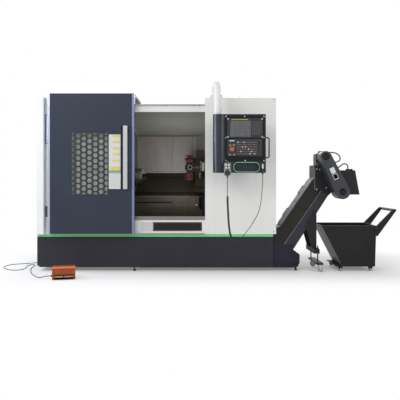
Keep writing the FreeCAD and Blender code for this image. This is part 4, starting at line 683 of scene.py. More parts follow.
# cords
cordLook = {
    "pendantY": -0.903,
    "topPoints": [
        (0.106, 1.075), (0.106, 1.022), (0.1056, 0.968), (0.1062, 0.914), (0.107, 0.862)],
    "sleevePoints": [
        (0.107, 0.862), (0.1075, 0.806), (0.110, 0.750), (0.113, 0.694), (0.115, 0.640), (0.1185, 0.586),
        (0.124, 0.532), (0.131, 0.480), (0.141, 0.436), (0.157, 0.396)],
    "lowerPoints": [
        (0.157, 0.396), (0.173, 0.372), (0.194, 0.364), (0.220, 0.380), (0.250, 0.409), (0.284, 0.447),
        (0.320, 0.494), (0.358, 0.545), (0.393, 0.600), (0.423, 0.655), (0.445, 0.712), (0.458, 0.768),
        (0.466, 0.826), (0.472, 0.884), (0.477, 0.942), (0.481, 0.998), (0.483, 1.054), (0.483, 1.108)],
    "motorPoints": [
        (1.274, -0.416, 1.352), (1.304, -0.416, 1.352), (1.336, -0.417, 1.353), (1.369, -0.419, 1.35),
        (1.399, -0.42, 1.338), (1.422, -0.421, 1.316), (1.433, -0.421, 1.288), (1.427, -0.42, 1.261),
        (1.405, -0.419, 1.246), (1.379, -0.417, 1.24), (1.359, -0.416, 1.224), (1.353, -0.414, 1.2),
        (1.362, -0.412, 1.177), (1.385, -0.41, 1.167), (1.41, -0.408, 1.175), (1.43, -0.407, 1.191),
        (1.45, -0.406, 1.209), (1.472, -0.404, 1.222), (1.496, -0.402, 1.224), (1.516, -0.4, 1.212),
        (1.527, -0.4, 1.19), (1.527, -0.4, 1.164)],
    "pedalPoints": [
        (-1.75077, -1.01598, 0.03), (-1.78575, -1.0245, 0.03), (-1.821, -1.021, 0.024),
        (-1.856, -1.003, 0.013), (-1.889, -0.972, 0.006), (-1.92, -0.935, 0.004), (-1.957, -0.883, 0.004),
        (-1.996, -0.815, 0.004), (-2.032, -0.736, 0.004), (-2.068, -0.65, 0.004), (-2.102, -0.556, 0.004),
        (-2.128, -0.462, 0.004), (-2.154, -0.366, 0.004), (-2.17, -0.268, 0.004), (-2.172, -0.184, 0.004),
        (-2.18, -0.12, 0.004), (-2.202, -0.078, 0.004), (-2.238, -0.074, 0.004), (-2.262, -0.112, 0.004),
        (-2.26, -0.18, 0.004), (-2.24, -0.262, 0.004), (-2.224, -0.344, 0.004), (-2.228, -0.42, 0.004),
        (-2.258, -0.474, 0.004), (-2.31, -0.488, 0.004), (-2.372, -0.462, 0.004), (-2.436, -0.404, 0.004),
        (-2.488, -0.324, 0.004), (-2.514, -0.232, 0.004), (-2.516, -0.142, 0.004), (-2.49, -0.066, 0.004),
        (-2.432, -0.022, 0.004), (-2.356, 0.008, 0.004), (-2.278, 0.048, 0.004), (-2.212, 0.092, 0.004),
        (-2.162, 0.124, 0.01), (-2.122, 0.148, 0.036), (-2.082, 0.16, 0.062), (-2.037, 0.16, 0.062)],
    "pendant": (1.567, 0.007),  # length and width of each cord
    "motor": (0.564, 0.009),
    "pedal": (2.651, 0.008),
    "sleeveWidth": 0.018,
    "ribPitch": 0.0115,
    "ribWidth": 0.0225,
    "conduitWidth": 0.0135,
}


def smoothRoute(name, points, width, body):
    curve = bpy.data.curves.new(name, "CURVE")
    curve.dimensions = "3D"
    spline = curve.splines.new("NURBS")
    spline.points.add(len(points) - 1)
    for control, point in zip(spline.points, points):
        control.co = (*point, 1.0)
    spline.order_u = 3
    spline.use_endpoint_u = True
    spline.resolution_u = 6
    curve.bevel_depth = width / 2
    curve.bevel_resolution = 4
    curve.use_fill_caps = True
    curve.materials.append(finishes["cordJacket"])
    cord = addObject(name, curve)
    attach(cord, body)
    return cord


def alongCord(cord, step):  # places and directions at even steps on a cord's own spline
    plain = cord.data.copy()
    plain.bevel_depth = 0.0
    holder = bpy.data.objects.new("plainCord", plain)
    mesh = bpy.data.meshes.new_from_object(holder)
    points = [vert.co.copy() for vert in mesh.vertices]
    bpy.data.objects.remove(holder)
    bpy.data.meshes.remove(mesh)
    bpy.data.curves.remove(plain)
    places, facings, ahead = [], [], step
    for start, end in zip(points, points[1:]):
        run = end - start
        while ahead <= run.length:
            places.append(start + run.normalized() * ahead)
            facings.append(tuple(run.normalized()))
            ahead += step
        ahead -= run.length
    return places, facings


def declareCord(cord, node, start, sizes, lay, **extras):
    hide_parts(node)


def makeCords(look):
    sleeve = onFace(look["sleevePoints"], look["pendantY"])
    hanging = (onFace(look["topPoints"], look["pendantY"]) + sleeve[1:]
               + onFace(look["lowerPoints"][1:], look["pendantY"]))
    motorPoints, pedalPoints = look["motorPoints"], look["pedalPoints"]
    pendantLead = smoothRoute("pendantLead", hanging, look["pendant"][1], "pendant")
    motorLead = smoothRoute("motorLead", motorPoints, look["motor"][1], "machine")
    pedalLead = smoothRoute("pedalLead", pedalPoints, look["pedal"][1], "machine")
    leadSleeve = smoothRoute("leadSleeve", sleeve, look["sleeveWidth"], "pendant")
    conduit = smoothRoute("leadConduit", motorPoints[1:], look["conduitWidth"], "machine")
    ribs = repeatUnits("sleeveRibs", ribUnit, "cordJacket", *alongCord(leadSleeve, look["ribPitch"]),
                       look["ribWidth"], look["ribWidth"], body="pendant", turnSpread=0.0)
    declareCord(pendantLead, "pendant_cord", hanging[0], look["pendant"], "hanging",
                with_pieces=[leadSleeve, ribs])
    declareCord(motorLead, "motor_cord", motorPoints[0], look["motor"], "hanging", with_pieces=[conduit])
    declareCord(pedalLead, "pedal_cord", pedalPoints[0], look["pedal"], "loose")


makeCords(cordLook)
print("cords ready")


# control pendant
pendantLook = {
    "face": -0.870,
    "plates": [((0.082, 0.512), (1.4835, 1.7290)), ((0.082, 0.512), (1.2335, 1.4815))],
    "plateThick": 0.0016,
    "screws": [(0.0925, 1.7180), (0.292, 1.7180), (0.499, 1.7180), (0.0925, 1.4905), (0.499, 1.4905),
               (0.0925, 1.2440), (0.298, 1.2440), (0.499, 1.2440)],
    "screwSize": (0.015, 0.0075),
    "glass": ((0.1365, 0.3595), (1.4985, 1.6695)),
    "unitFace": -0.884,
    "corners": [(0.113, 1.690), (0.479, 1.690), (0.113, 1.497), (0.479, 1.497)],
    "cornerSize": 0.0085,
    "strip": ((0.150, 0.330), (1.6785, 1.6880)),
    "capSeams": (1.6640, 1.1880),
    "columnCentre": (0.0275, -0.8145),
    "columnRadius": 0.0735,
    "columnSlots": ((1.665, 1.8105), (1.1125, 1.187)),
    "lip": ((0.171, 0.455), (1.1185, 1.2265)),
    "lipWidth": 0.0055,
    "lipFace": -0.874,
}
keyLook = {
    "face": -0.884,
    "columns": [0.2185 + 0.0163 * i for i in range(13)],
    "rows": [1.4395, 1.4150, 1.3905, 1.3660, 1.3415, 1.3170],
    "redOnes": [(2, 1), (3, 1), (6, 1), (7, 1), (1, 3), (2, 3), (6, 3), (9, 1), (5, 4), (10, 2)],
    "paleOnes": [(0, 0), (3, 2), (5, 2), (7, 3), (9, 4), (4, 0), (8, 5), (11, 5), (2, 4)],
    "keySize": (0.0125, 0.006),
    "screenColumns": [0.3800 + 0.0172 * i for i in range(6)],
    "screenRows": [1.6560 - 0.0215 * i for i in range(7)],
    "screenKeySize": (0.0105, 0.005),
    "paleScreenKey": (5, 6),
    "label": ((0.128, 0.182), (1.4500, 1.4620)),
    "rims": [(0.156, 1.364, 0.0260), (0.138, 1.405, 0.0125), (0.176, 1.409, 0.0125), (0.135, 1.307, 0.0125),
             (0.179, 1.307, 0.0125)],
    "knobs": [(0.447, 1.440), (0.447, 1.392)],
    "tickReach": 0.0150 * 1.25,
    "tickCount": 11,
}
pulseLook = {
    "face": -0.924,
    "keys": [(0.090, 1.196), (0.121, 1.196), (0.090, 1.166), (0.121, 1.166)],
    "keySize": (0.024, 0.010),
    "plate": ((0.0735, 0.1385), (1.1480, 1.2140)),
    "hook": ((0.0895, 0.1225), (-0.902, -0.8702), (1.2195, 1.2460)),
    "dial": (0.106, -0.942, 1.110),
    "dialTicks": (0.0285, 40),
    "socketSleeve": ((0.4735, 0.4925), (-0.9155, -0.9030), (1.1560, 1.2068)),
    "reliefs": [(0.106, -0.903, 1.0750), (0.483, -0.903, 1.1080)],
    "reliefRadius": 0.0085,
}


def addKey(bm):  # 1 wide, 1 tall and 0.3 proud, with rounded rim
    base = roundedOutline((-0.5, 0.5), (-0.5, 0.5), 0.16, 3)
    crown = roundedOutline((-0.42, 0.42), (-0.42, 0.42), 0.14, 3)
    loops = [addLoop(bm, corners, along, "Z")
             for corners, along in ((base, -0.04), (base, 0.20), (crown, 0.30))]
    joinLoops(bm, loops)
    bm.faces.new(loops[0][::-1])
    bm.faces.new(loops[-1])


keyUnit = unitObject("keyUnit", [(addKey,)])


def placeKeys(name, finish, places, size, **more):
    repeatUnits(name, keyUnit, finish, places, forward, *size, turnSpread=0.0, **{"body": "pendant", **more})


def makePendantCase(look):
    face, unit, size = look["face"], look["unitFace"], look["cornerSize"]
    thick = look["plateThick"]
    asPiece("pendantPlates", "platePaint",
            [(addSheet, x, z, 0.004, 3, face - thick, face) for x, z in look["plates"]], "pendant", 0.0004, 1)
    repeatUnits("pendantScrews", screwUnit, "screwSteel", onFace(look["screws"], face - thick), forward,
                *look["screwSize"], 5, "pendant")
    asPiece("screenGlass", "screenGlass",
            [(addSheet, *look["glass"], 0.003, 3, unit + 0.0006, unit + 0.0022)], "pendant")
    corners = [(addSheet, (x - size, x + size), (z - size, z + size), 0.003, 3, unit - 0.0016, unit)
               for x, z in look["corners"]]
    asPiece("screenCorners", "capTeal", corners, "pendant", 0.0004, 1)
    asPiece("screenStrip", "ochreStrip", [(addSheet, *look["strip"], 0.001, 2, unit - 0.0005, unit)],
            "pendant")
    x, y = look["columnCentre"]
    low, high = look["columnRadius"] - 0.004, look["columnRadius"] + 0.0004
    profile = [(-0.0015, low), (-0.0015, high), (0.0015, high), (0.0015, low)]
    front = y - look["columnRadius"]
    seams = [(addTurned, (x, y, z), upward, profile, 64) for z in look["capSeams"]]
    seams += [(addBox, (0.0393, 0.0413), (front - 0.0002, front + 0.004), reach)
              for reach in look["columnSlots"]]
    asPiece("columnSeams", "ventBlack", seams, "pendant")
    asPiece("pocketRim", "rimGreen", [(addRim, *look["lip"], look["lipWidth"], (0.0535, 0.048), 10,
                                       look["lipFace"] - 0.0012, look["lipFace"])], "pendant")


def makeKeys(look):
    face = look["face"]
    sorts = {"keyGrey": [], "keyRed": [], "keyPale": []}
    for i, x in enumerate(look["columns"]):
        for j, z in enumerate(look["rows"]):
            red, pale = (i, j) in look["redOnes"], (i, j) in look["paleOnes"]
            sorts["keyRed" if red else "keyPale" if pale else "keyGrey"].append((x, face, z))
    for name, (finish, places) in zip(("greyKeys", "redKeys", "paleKeys"), sorts.items()):
        placeKeys(name, finish, places, look["keySize"], slot="panel_black")
    places = [(x, face, z) for i, x in enumerate(look["screenColumns"])
              for j, z in enumerate(look["screenRows"]) if (i, j) != look["paleScreenKey"]]
    placeKeys("screenKeys", "keyGrey", places, look["screenKeySize"])
    rims = []
    for x, z, radius in look["rims"]:
        profile = [(-0.002, radius), (0.0022, radius), (0.0030, radius - 0.0008), (0.0030, radius - 0.0022),
                   (0.0010, radius - 0.0026), (-0.002, radius - 0.0026), (-0.002, radius)]
        rims.append((addTurned, (x, face, z), forward, profile, 32))
    asPiece("buttonRims", "zincSteel", rims, "pendant")
    angles = [math.radians(225.0 - 270.0 * i / (look["tickCount"] - 1)) for i in range(look["tickCount"])]
    placeKeys("knobTicks", "keyPale", [(x + look["tickReach"] * math.cos(angle), face,
                                        z + look["tickReach"] * math.sin(angle))
                                       for x, z in look["knobs"] for angle in angles], (0.0022, 0.002))
    asPiece("panelLabel", "keyPale", [(addSheet, *look["label"], 0.001, 2, face - 0.0004, face)], "pendant")


def makePulseUnit(look):
    face = look["face"]
    placeKeys("pulseKeys", "keyPale", onFace(look["keys"], face), look["keySize"], slot="pulse_grey")
    asPiece("pulsePlate", "panelBlack", [(addSheet, *look["plate"], 0.004, 3, face - 0.0008, face)],
            "pendant")
    x, y, z = look["hook"]
    asPiece("pulseHook", "grilleBlack", [(addSheet, x, z, 0.008, 4, *y)], "pendant", 0.002)
    x, y, z = look["dial"]
    placeKeys("dialTicks", "keyPale", onFace(onCircle((x, z), *look["dialTicks"]), y), (0.0016, 0.0016),
              body="pulse_dial")
    hub = [(0.0, 0.0185), (0.0035, 0.0185), (0.0050, 0.0165), (0.0050, 0.0)]
    crank = [(-0.002, 0.0042), (0.006, 0.0042), (0.0075, 0.0030), (0.0075, 0.0)]
    asPiece("dialHub", "grilleBlack", [(addTurned, (x, y + 0.0005, z), forward, hub, 36),
                                       (addTurned, (x + 0.013, y - 0.004, z + 0.013), forward, crank, 20)],
            "pulse_dial")
    radius = look["reliefRadius"]
    profile = [(-0.001, radius + 0.0015), (0.003, radius + 0.0015), (0.0035, radius)]
    for i in range(5):
        along, wide = 0.005 + 0.0042 * i, radius - 0.0009 * (i + 1)
        profile += [(along, wide + 0.0008), (along + 0.0024, wide + 0.0006), (along + 0.0026, wide - 0.0007),
                    (along + 0.0040, wide - 0.0007)]
    profile += [(0.0275, 0.0041), (0.0275, 0.0)]
    asPiece("leadReliefs", "cordJacket",
            [(addTurned, place, (0, 0, -1), profile, 24) for place in look["reliefs"]], "pendant")
    x, y, z = look["socketSleeve"]
    asPiece("socketSleeve", "keyPale", [(addSheet, x, y, 0.004, 3, *z, "Z")], "pendant", 0.0015)


makePendantCase(pendantLook)
makeKeys(keyLook)
makePulseUnit(pulseLook)
print("pendant ready")


# sliding door
doorLook = {
    "face": -0.625,
    "card": ((-1.2065, -1.0760), (1.1385, 1.5440)),
    "bandTop": 1.5390,
    "bandStep": 0.0690,
    "bandSize": (0.082, 0.024),
    "bandRight": -1.0800,
    "lowerBand": ((-1.1940, -1.0760), (1.1385, 1.1840)),
    "noticeHead": ((-1.2065, -1.0745), (1.1075, 1.1325)),
    "notice": ((-1.2065, -1.0745), (0.9350, 1.1070)),
    "noticeLines": 7,
    "trimScrews": [(x, z) for x in (-1.9060, -0.9340) for z in (0.520, 0.820, 1.120, 1.420, 1.720, 1.940)],
}


def makeDoorDetails(look):
    face = look["face"]
    asPiece("doorCards", "cardPale", [(addSheet, *look[key], 0.003, 3, face - 0.0008, face)
                                      for key in ("card", "notice")], "door")
    right, (width, height) = look["bandRight"], look["bandSize"]
    tops = [look["bandTop"] - look["bandStep"] * i for i in range(5)]
    bands = [((right - width, right), (top - height, top)) for top in tops] + [look["lowerBand"]]
    asPiece("doorCardBands", "cardBand",
            [(addSheet, x, z, 0.001, 2, face - 0.0012, face - 0.0006) for x, z in bands], "door")
    asPiece("doorNoticeHead", "capTeal", [(addSheet, *look["noticeHead"], 0.001, 2, face - 0.0012, face)],
            "door")
    x, z = look["notice"]
    step = (z[1] - z[0] - 0.03) / look["noticeLines"]
    lines = [(i, z[1] - 0.018 - step * i) for i in range(look["noticeLines"])]
    asPiece("doorNoticeRules", "ruleGrey", [
        (addBox, (x[0] + 0.012, x[1] - 0.012 - 0.01 * (i % 3)), (face - 0.0011, face - 0.0007),
         (line - 0.0035, line))
        for i, line in lines], "door")
    repeatUnits("doorScrews", screwUnit, "zincSteel", onFace(look["trimScrews"], face + 0.0005), forward,
                0.009, 0.0035, 11, "door")


makeDoorDetails(doorLook)
print("door ready")


# work chamber
chamberLook = {
    "wall": 0.400,
    "seams": [-0.5490, -0.2900],
    "seamHeight": (1.134, 1.606),
    "footStrip": ((-0.985, -0.240), (1.1265, 1.1325)),
    "ceilingSeam": ((-0.990, 0.080), (0.389, 0.396), (1.6020, 1.6065)),
    "cornerFace": 0.385,
    "cornerUpper": ((-0.2368, 0.0880), (1.4330, 1.6060)),
    "cornerLower": ((-0.2368, 0.0880), (1.1300, 1.4310)),
    "sideX": -1.000,
    "sideOutline": [(-0.503, 0.600), (0.050, 0.845), (0.385, 1.135), (0.385, 1.600), (-0.503, 1.797)],
    "sideHole": (0.025, 1.078, 0.119),
    "guardLip": ((-0.9900, -0.3230), (0.0518, 0.0531), (0.8310, 0.8360)),
    "guardFace": 0.060,
    "guardPanels": [((-0.5200, -0.3340), (0.7660, 0.8180)), ((-0.3270, -0.2300), (0.7660, 0.8180)),
                    ((-0.8320, -0.5420), (0.6950, 0.7460)), ((-0.5220, -0.2300), (0.6950, 0.7540))],
    "panelThick": 0.0026,
    "screwInset": 0.014,
    "guardGaps": [((-0.9850, 0.0750), (0.5290, 0.5330)), ((-0.9900, -0.5250), (0.7505, 0.7620))],
    "latch": ((-0.2420, -0.2200), (0.0500, 0.0600), (0.7150, 0.7360)),
    "block": ((-0.2000, -0.1640), (0.0150, 0.0590), (0.6820, 0.8320)),
    "edgeShadow": ((-0.1640, -0.1320), (-0.4900, -0.4860), (0.6260, 0.8640)),
}


def outlineAround(outline, centre, angle):  # where a ray from the centre leaves a convex outline
    y, z = centre
    way = (math.cos(angle), math.sin(angle))
    nearest = None
    for (y0, z0), (y1, z1) in zip(outline, outline[1:] + outline[:1]):
        dy, dz = y1 - y0, z1 - z0
        cross = way[0] * dz - way[1] * dy
        if abs(cross) < 1e-9:
            continue
        along = ((y0 - y) * dz - (z0 - z) * dy) / cross
        share = ((y0 - y) * way[1] - (z0 - z) * way[0]) / cross
        if along > 0.0 and -1e-6 <= share <= 1.0 + 1e-6 and (nearest is None or along < nearest):
            nearest = along
    return y + way[0] * nearest, z + way[1] * nearest


def makeSideSheet(look):
    outline, (y, z, radius) = look["sideOutline"], look["sideHole"]
    angles = [2.0 * math.pi * i / 48 for i in range(48)]
    angles += [math.atan2(cz - z, cy - y) % (2.0 * math.pi) for cy, cz in outline]
    angles = sorted(set(round(angle, 6) for angle in angles))
    outer = [outlineAround(outline, (y, z), angle) for angle in angles]
    inner = [(y + radius * math.cos(angle), z + radius * math.sin(angle)) for angle in angles]
    asPiece("chamberSideSheet", "sidePaint",
            [(addFrame, outer, inner, look["sideX"] + 0.0004, look["sideX"] + 0.0020,
                                               "X")])


def makeWallDetails(look):
    behind = (look["wall"] - 0.0045, look["wall"] - 0.0002)
    asPiece("wallSeams", "guardPaint",
            [(addBox, (x, x + 0.0035), behind, look["seamHeight"]) for x in look["seams"]]
            + [(addBox, *look["ceilingSeam"])])
    x, z = look["footStrip"]
    asPiece("wallFootStrip", "edgeSteel", [(addBox, x, (look["wall"] - 0.0060, look["wall"] - 0.0002), z)],
            bevel=0.0008, segments=1)
    asPiece("guardLip", "stainlessSteel", [(addBox, *look["guardLip"])], bevel=0.0004, segments=1)
    corner = look["cornerFace"]
    for name, key, finish in (("cornerUpperSheet", "cornerUpper", "olivePaint"),
                              ("cornerLowerSheet", "cornerLower", "guardPaint")):
        asPiece(name, finish, [(addSheet, *look[key], 0.004, 2, corner - 0.0014, corner - 0.0002)])


def makeGuardDetails(look):
    face, front = look["guardFace"], look["guardFace"] - look["panelThick"]
    asPiece("guardPanels", "panelBrown", [(addSheet, x, z, 0.006, 3, front, face - 0.0002)
                                          for x, z in look["guardPanels"]], bevel=0.0010)
    places = [pair for x, z in look["guardPanels"] for pair in cornersOf(x, z, look["screwInset"])]
    repeatUnits("guardScrews", screwUnit, "bedIron", onFace(places, front), forward, 0.010, 0.005, 8)
    x, y, z = look["block"]
    gaps = [(addBox, gap, (face - 0.0012, face + 0.0010), height) for gap, height in look["guardGaps"]]
    asPiece("guardBlock", "ventBlack", gaps + [(addSheet, x, z, 0.006, 3, *y)], bevel=0.0004)
    x, y, z = look["latch"]
    asPiece("guardLatch", "edgeSteel", [(addSheet, x, z, 0.004, 3, *y)], bevel=0.0015)
    # a dark blue sheet painted as the shadow along the inner edge of the right housing
    x, y, z = look["edgeShadow"]
    asPiece("openingEdgeStrip", "stripBlue", [(addSheet, x, z, 0.003, 2, *y)], bevel=0.0008, segments=1)


makeSideSheet(chamberLook)
makeWallDetails(chamberLook)
makeGuardDetails(chamberLook)

turretLook = {
    "socket": (-0.3095, 1.190),
    "socketFace": -0.0020,
    "socketBolts": (0.0252, 8),
    "faceX": -0.357,
    "axis": (0.125, 1.190),
    "faceBolts": (0.090, 8, math.pi / 8),
    "pipes": [((-0.1760, -0.0040, 1.150), 0.115), ((-0.1890, -0.0040, 1.050), 0.070)],
    "pipeRadius": 0.0042,
    "clips": [(-0.1760, 1.180), (-0.1760, 1.235), (-0.1890, 1.085)],
    "patch": ((-0.1640, -0.1340), (1.1470, 1.2500)),
}


def makeTurretBits(look):
    repeatUnits("socketBolts", screwUnit, "boltBright",
                onFace(onCircle(look["socket"], *look["socketBolts"]), look["socketFace"]), forward, 0.0100,
                0.005, 2, "turret")
    places = [(look["faceX"], y, z) for y, z in onCircle(look["axis"], *look["faceBolts"])]
    repeatUnits("turretFaceBolts", screwUnit, "boltBright", places, (-1.0, 0.0, 0.0), 0.014, 0.007, 4,
                "turret")


def makeCoolantPipes(look):
    radius = look["pipeRadius"]
    wide = radius * 1.25
    pipes = []
    for low, length in look["pipes"]:
        profile = [(0.0, 0.0), (0.0, radius * 0.6), (0.010, radius * 0.75), (0.011, wide), (0.020, wide),
                   (0.021, radius), (length - 0.016, radius), (length - 0.015, wide), (length - 0.003, wide),
                   (length, radius), (length, 0.0)]
        pipes.append((addTurned, low, upward, profile, 20))
    asPiece("coolantPipes", "edgeSteel", pipes, "slide")
    asPiece("pipeClips", "grilleBlack", [(addSheet, (x - 0.009, x + 0.009), (z - 0.005, z + 0.005), 0.002, 2,
                                          -0.0095, 0.0066) for x, z in look["clips"]], "slide", 0.0010)
    asPiece("slidePlate", "olivePaint", [(addSheet, *look["patch"], 0.004, 3, 0.0040, 0.0068)], "slide",
            0.0008, 1)


makeTurretBits(turretLook)
makeCoolantPipes(turretLook)
print("chamber ready")


# enclosure
enclosureLook = {
    "front": -0.525,
    "recess": ((-1.9400, -1.9010), (1.4550, 1.7700)),
    "recessRim": ((-1.9460, -1.8950), (1.4490, 1.7760)),
    "rimWidth": 0.0075,
    "darkCover": ((-1.9430, -1.9120), (0.6150, 0.7390)),
    "smallCover": ((-1.9420, -1.9130), (0.5620, 0.6030)),
    "plateLight": ((-0.8580, -0.7215), (0.4545, 0.5570)),
    "plateDark": ((-0.7215, -0.1643), (0.4545, 0.5570)),
    "plateInset": 0.0070,
    "baseSeam": ((-1.9950, -1.9910), (0.052, 0.388)),
    "frontScrews": [(0.6500, 0.450), (0.6500, 1.950), (-0.9700, 0.450), (-0.9400, 1.8800), (-0.5650, 1.8800),
                    (-0.1900, 1.8800)],
    "baseScrews": [(x, z) for x in (-1.9600, -1.5600, -1.1600, 0.2900, 0.5900) for z in (0.080, 0.360)],
}


def shrunk(x, z, inset):
    return (x[0] + inset, x[1] - inset), (z[0] + inset, z[1] - inset)


def makeEnclosureDetails(look):
    front, inset = look["front"], look["plateInset"]
    asPiece("recessRim", "rimEdge", [(addRim, *look["recessRim"], look["rimWidth"], (0.004, 0.002), 3,
                                      front - 0.0025, front - 0.0002)])
    for name, finish, (x, z), corner, proud, deep, bevel in (
            ("recessSheet", "recessPale", shrunk(*look["recess"], 0.0008), (0.002, 2), 0.0014, -0.0058, 0.0),
            ("stripCover", "rimDark", look["darkCover"], (0.004, 3), 0.0050, 0.0002, 0.0015),
            ("smallStripCover", "plateAlloy", look["smallCover"], (0.003, 3), 0.0040, 0.0002, 0.0012),
            ("sillPlateLight", "plateAlloy", look["plateLight"], (0.002, 3), 0.0016, 0.0001, 0.0),
            ("sillPlateDark", "plateBlank", look["plateDark"], (0.002, 3), 0.0016, 0.0001, 0.0)):
        asPiece(name, finish, [(addSheet, x, z, *corner, front - proud, front - deep)], bevel=bevel)
    asPiece("sillPlateLine", "edgeSteel",
            [(addRim, *shrunk(*look["plateDark"], inset), 0.0018, (0.004, 0.002), 3,
                                            front - 0.0022, front - 0.0010)])
    x, z = (look["plateLight"][0][0], look["plateDark"][0][1]), look["plateDark"][1]
    repeatUnits("sillPlateScrews", screwUnit, "zincSteel", onFace(cornersOf(x, z, inset), front - 0.0018),
                forward, 0.007, 0.003, 5)
    for name, finish in (("frontScrews", "coverPaint"), ("baseScrews", "charcoalPaint")):
        repeatUnits(name, screwUnit, finish, onFace(look[name], front), forward, 0.012, 0.005, 6)
    x, z = look["baseSeam"]
    asPiece("baseSeams", "grilleBlack", [(addBox, x, (front - 0.0010, front + 0.0010), z)])


makeEnclosureDetails(enclosureLook)
print("enclosure ready")


# chip conveyor
conveyorLook = {
    "front": -0.500,
    "rear": -0.200,
    "sheet": [(0.742, 0.500), (1.116, 1.040), (1.1215, 1.040), (1.1215, 0.935), (1.172, 0.905),
              (0.772, 0.304)],
    "band": [(0.905, 0.301), (1.2605, 0.8555), (1.1950, 0.9095), (0.7735, 0.3015)],
    "footSheet": [(0.648, 0.036), (0.893, 0.036), (0.893, 0.150), (0.840, 0.292), (0.648, 0.292)],
    "inclineStart": (0.734, 0.508),
    "inclineWay": (0.5699, 0.8217),
    "inclineOut": (-0.8217, 0.5699),
    "coverTop": 0.0082,
    "coverScrewsAlong": (0.030, 0.114, 0.230, 0.314, 0.348, 0.432, 0.548, 0.632),
    "coverScrewsY": (-0.476, -0.224),
    "edgeLine": ((1.1195, 1.1235), (-0.5052, -0.4990), (0.9270, 1.1780)),
    "cheekScrews": [(1.178, 1.155), (1.254, 0.947), (1.142, 0.929), (1.142, 1.160)],
    "flap": ((1.1190, 1.1208), (-0.4900, -0.2130), (1.0660, 1.1900)),
    "flapEdge": ((1.1180, 1.1208), (-0.2090, -0.2010), (1.0560, 1.1950)),
    # the lid's top sheet and front lip are painted paler as the light falling on the top of the head box
    "lidPaintedLight": ((1.1150, 1.1640), (-0.4795, -0.2205), (1.2030, 1.2042)),
    "lidLipPaintedLight": ((1.1150, 1.1640), (-0.4812, -0.4800), (1.1965, 1.2042)),
    "bearing": (1.300, 1.010),
    "beltEdges": (-0.495, -0.205),
    "linkStart": (-0.840, 0.1545),
    "linkPitch": 0.049,
    "linkCount": 30,
}


def leaningSheet(low, high, thick):  # the outline of a sheet seen edge-on, between two (x, z) pairs
    (x0, z0), (x1, z1) = low, high
    across = Vector((z1 - z0, 0.0, x0 - x1)).normalized() * thick
    return [low, high, (x1 + across.x, z1 + across.z), (x0 + across.x, z0 + across.z)]


def makeTroughSheets(look):
    front = look["front"]
    for name, key, finish, proud in (("inclineSheet", "sheet", "oliveDark", 0.0012),
                                     ("inclineBand", "band", "bandBlue", 0.0042),
                                     ("troughFootSheet", "footSheet", "footBlue", 0.0014)):
        asPiece(name, finish, [(addPrism, look[key], front - proud, front - proud + 0.0010)])
    # bright lines along the band's fold, the flange edge and the flap edge: painted highlights
    fold = leaningSheet(look["band"][3], look["band"][2], -0.0032)
    asPiece("conveyorEdges", "foldEdge", [(addPrism, fold, front - 0.0050, front - 0.0020),
                                          (addBox, *look["edgeLine"]), (addBox, *look["flapEdge"])],
            bevel=0.0006, segments=1)
    asPiece("headFlap", "grilleBlack", [(addBox, *look["flap"])])
    # painted light: a paler sheet on the lid top and along its front lip
    asPiece("headLidSheet", "coverPaint", [(addBox, *look["lidPaintedLight"]), (addBox, *look["lidLipPaintedLight"])])


def makeConveyorScrews(look):
    (x, z), out = look["inclineStart"], look["coverTop"]
    (dx, dz), (nx, nz) = look["inclineWay"], look["inclineOut"]
    places = [(x + dx * along + nx * out, y, z + dz * along + nz * out)
              for along in look["coverScrewsAlong"] for y in look["coverScrewsY"]]
    repeatUnits("coverScrews", screwUnit, "zincSteel", places, (nx, 0.0, nz), 0.014, 0.007)
    repeatUnits("cheekScrews", boltUnit, "zincSteel", onFace(look["cheekScrews"], look["front"] - 0.0042),
                forward, 0.015, 0.012, 7)
    x, z = look["bearing"]
    places = [(x + 0.034 * math.cos(0.785 + 1.571 * i), look["rear"] + 0.014,
               z + 0.034 * math.sin(0.785 + 1.571 * i))
              for i in range(4)]
    repeatUnits("bearingBolts", boltUnit, "zincSteel", places, backward, 0.016, 0.012, 9)
    link = unitObject("linkUnit", [(addTurned, (0, 0, -0.012), upward,
                                    [(0.0, 0.0), (0.0, 0.42), (0.024, 0.42), (0.024, 0.0)], 10)])
    x, z = look["linkStart"]
    places = [(x + look["linkPitch"] * i, y, z) for i in range(look["linkCount"]) for y in look["beltEdges"]]
    repeatUnits("beltLinks", link, "bedIron", places, backward, 0.016, 0.3, 1, turnSpread=0.0)


makeTroughSheets(conveyorLook)
makeConveyorScrews(conveyorLook)

guardLook = {
    "front": -0.700,
    "vents": ((1.206, 1.294), (1.392, 0.905)),
    "ventRing": (0.0325, 0.0375),
    "slots": [0.012 * i for i in range(-2, 3)],
    "slotHalf": 0.0027,
    "bars": (-0.018, -0.006, 0.006, 0.018),
    "barHalf": 0.0018,
    "fields": {"guardFieldPale": ((-0.026, 0.026), (0.014, 0.082)),
               "guardFieldBorder": ((-0.026, 0.026), (-0.058, 0.006)),
               "guardFieldDark": ((-0.021, 0.021), (-0.051, 0.001))},
    "fieldAt": (1.300, 1.096),
    "screws": [(1.1565, 1.2640), (1.2480, 1.3190), (1.2230, 1.1000), (1.3440, 1.1280), (1.3160, 0.8930),
               (1.4630, 0.9290)],
}


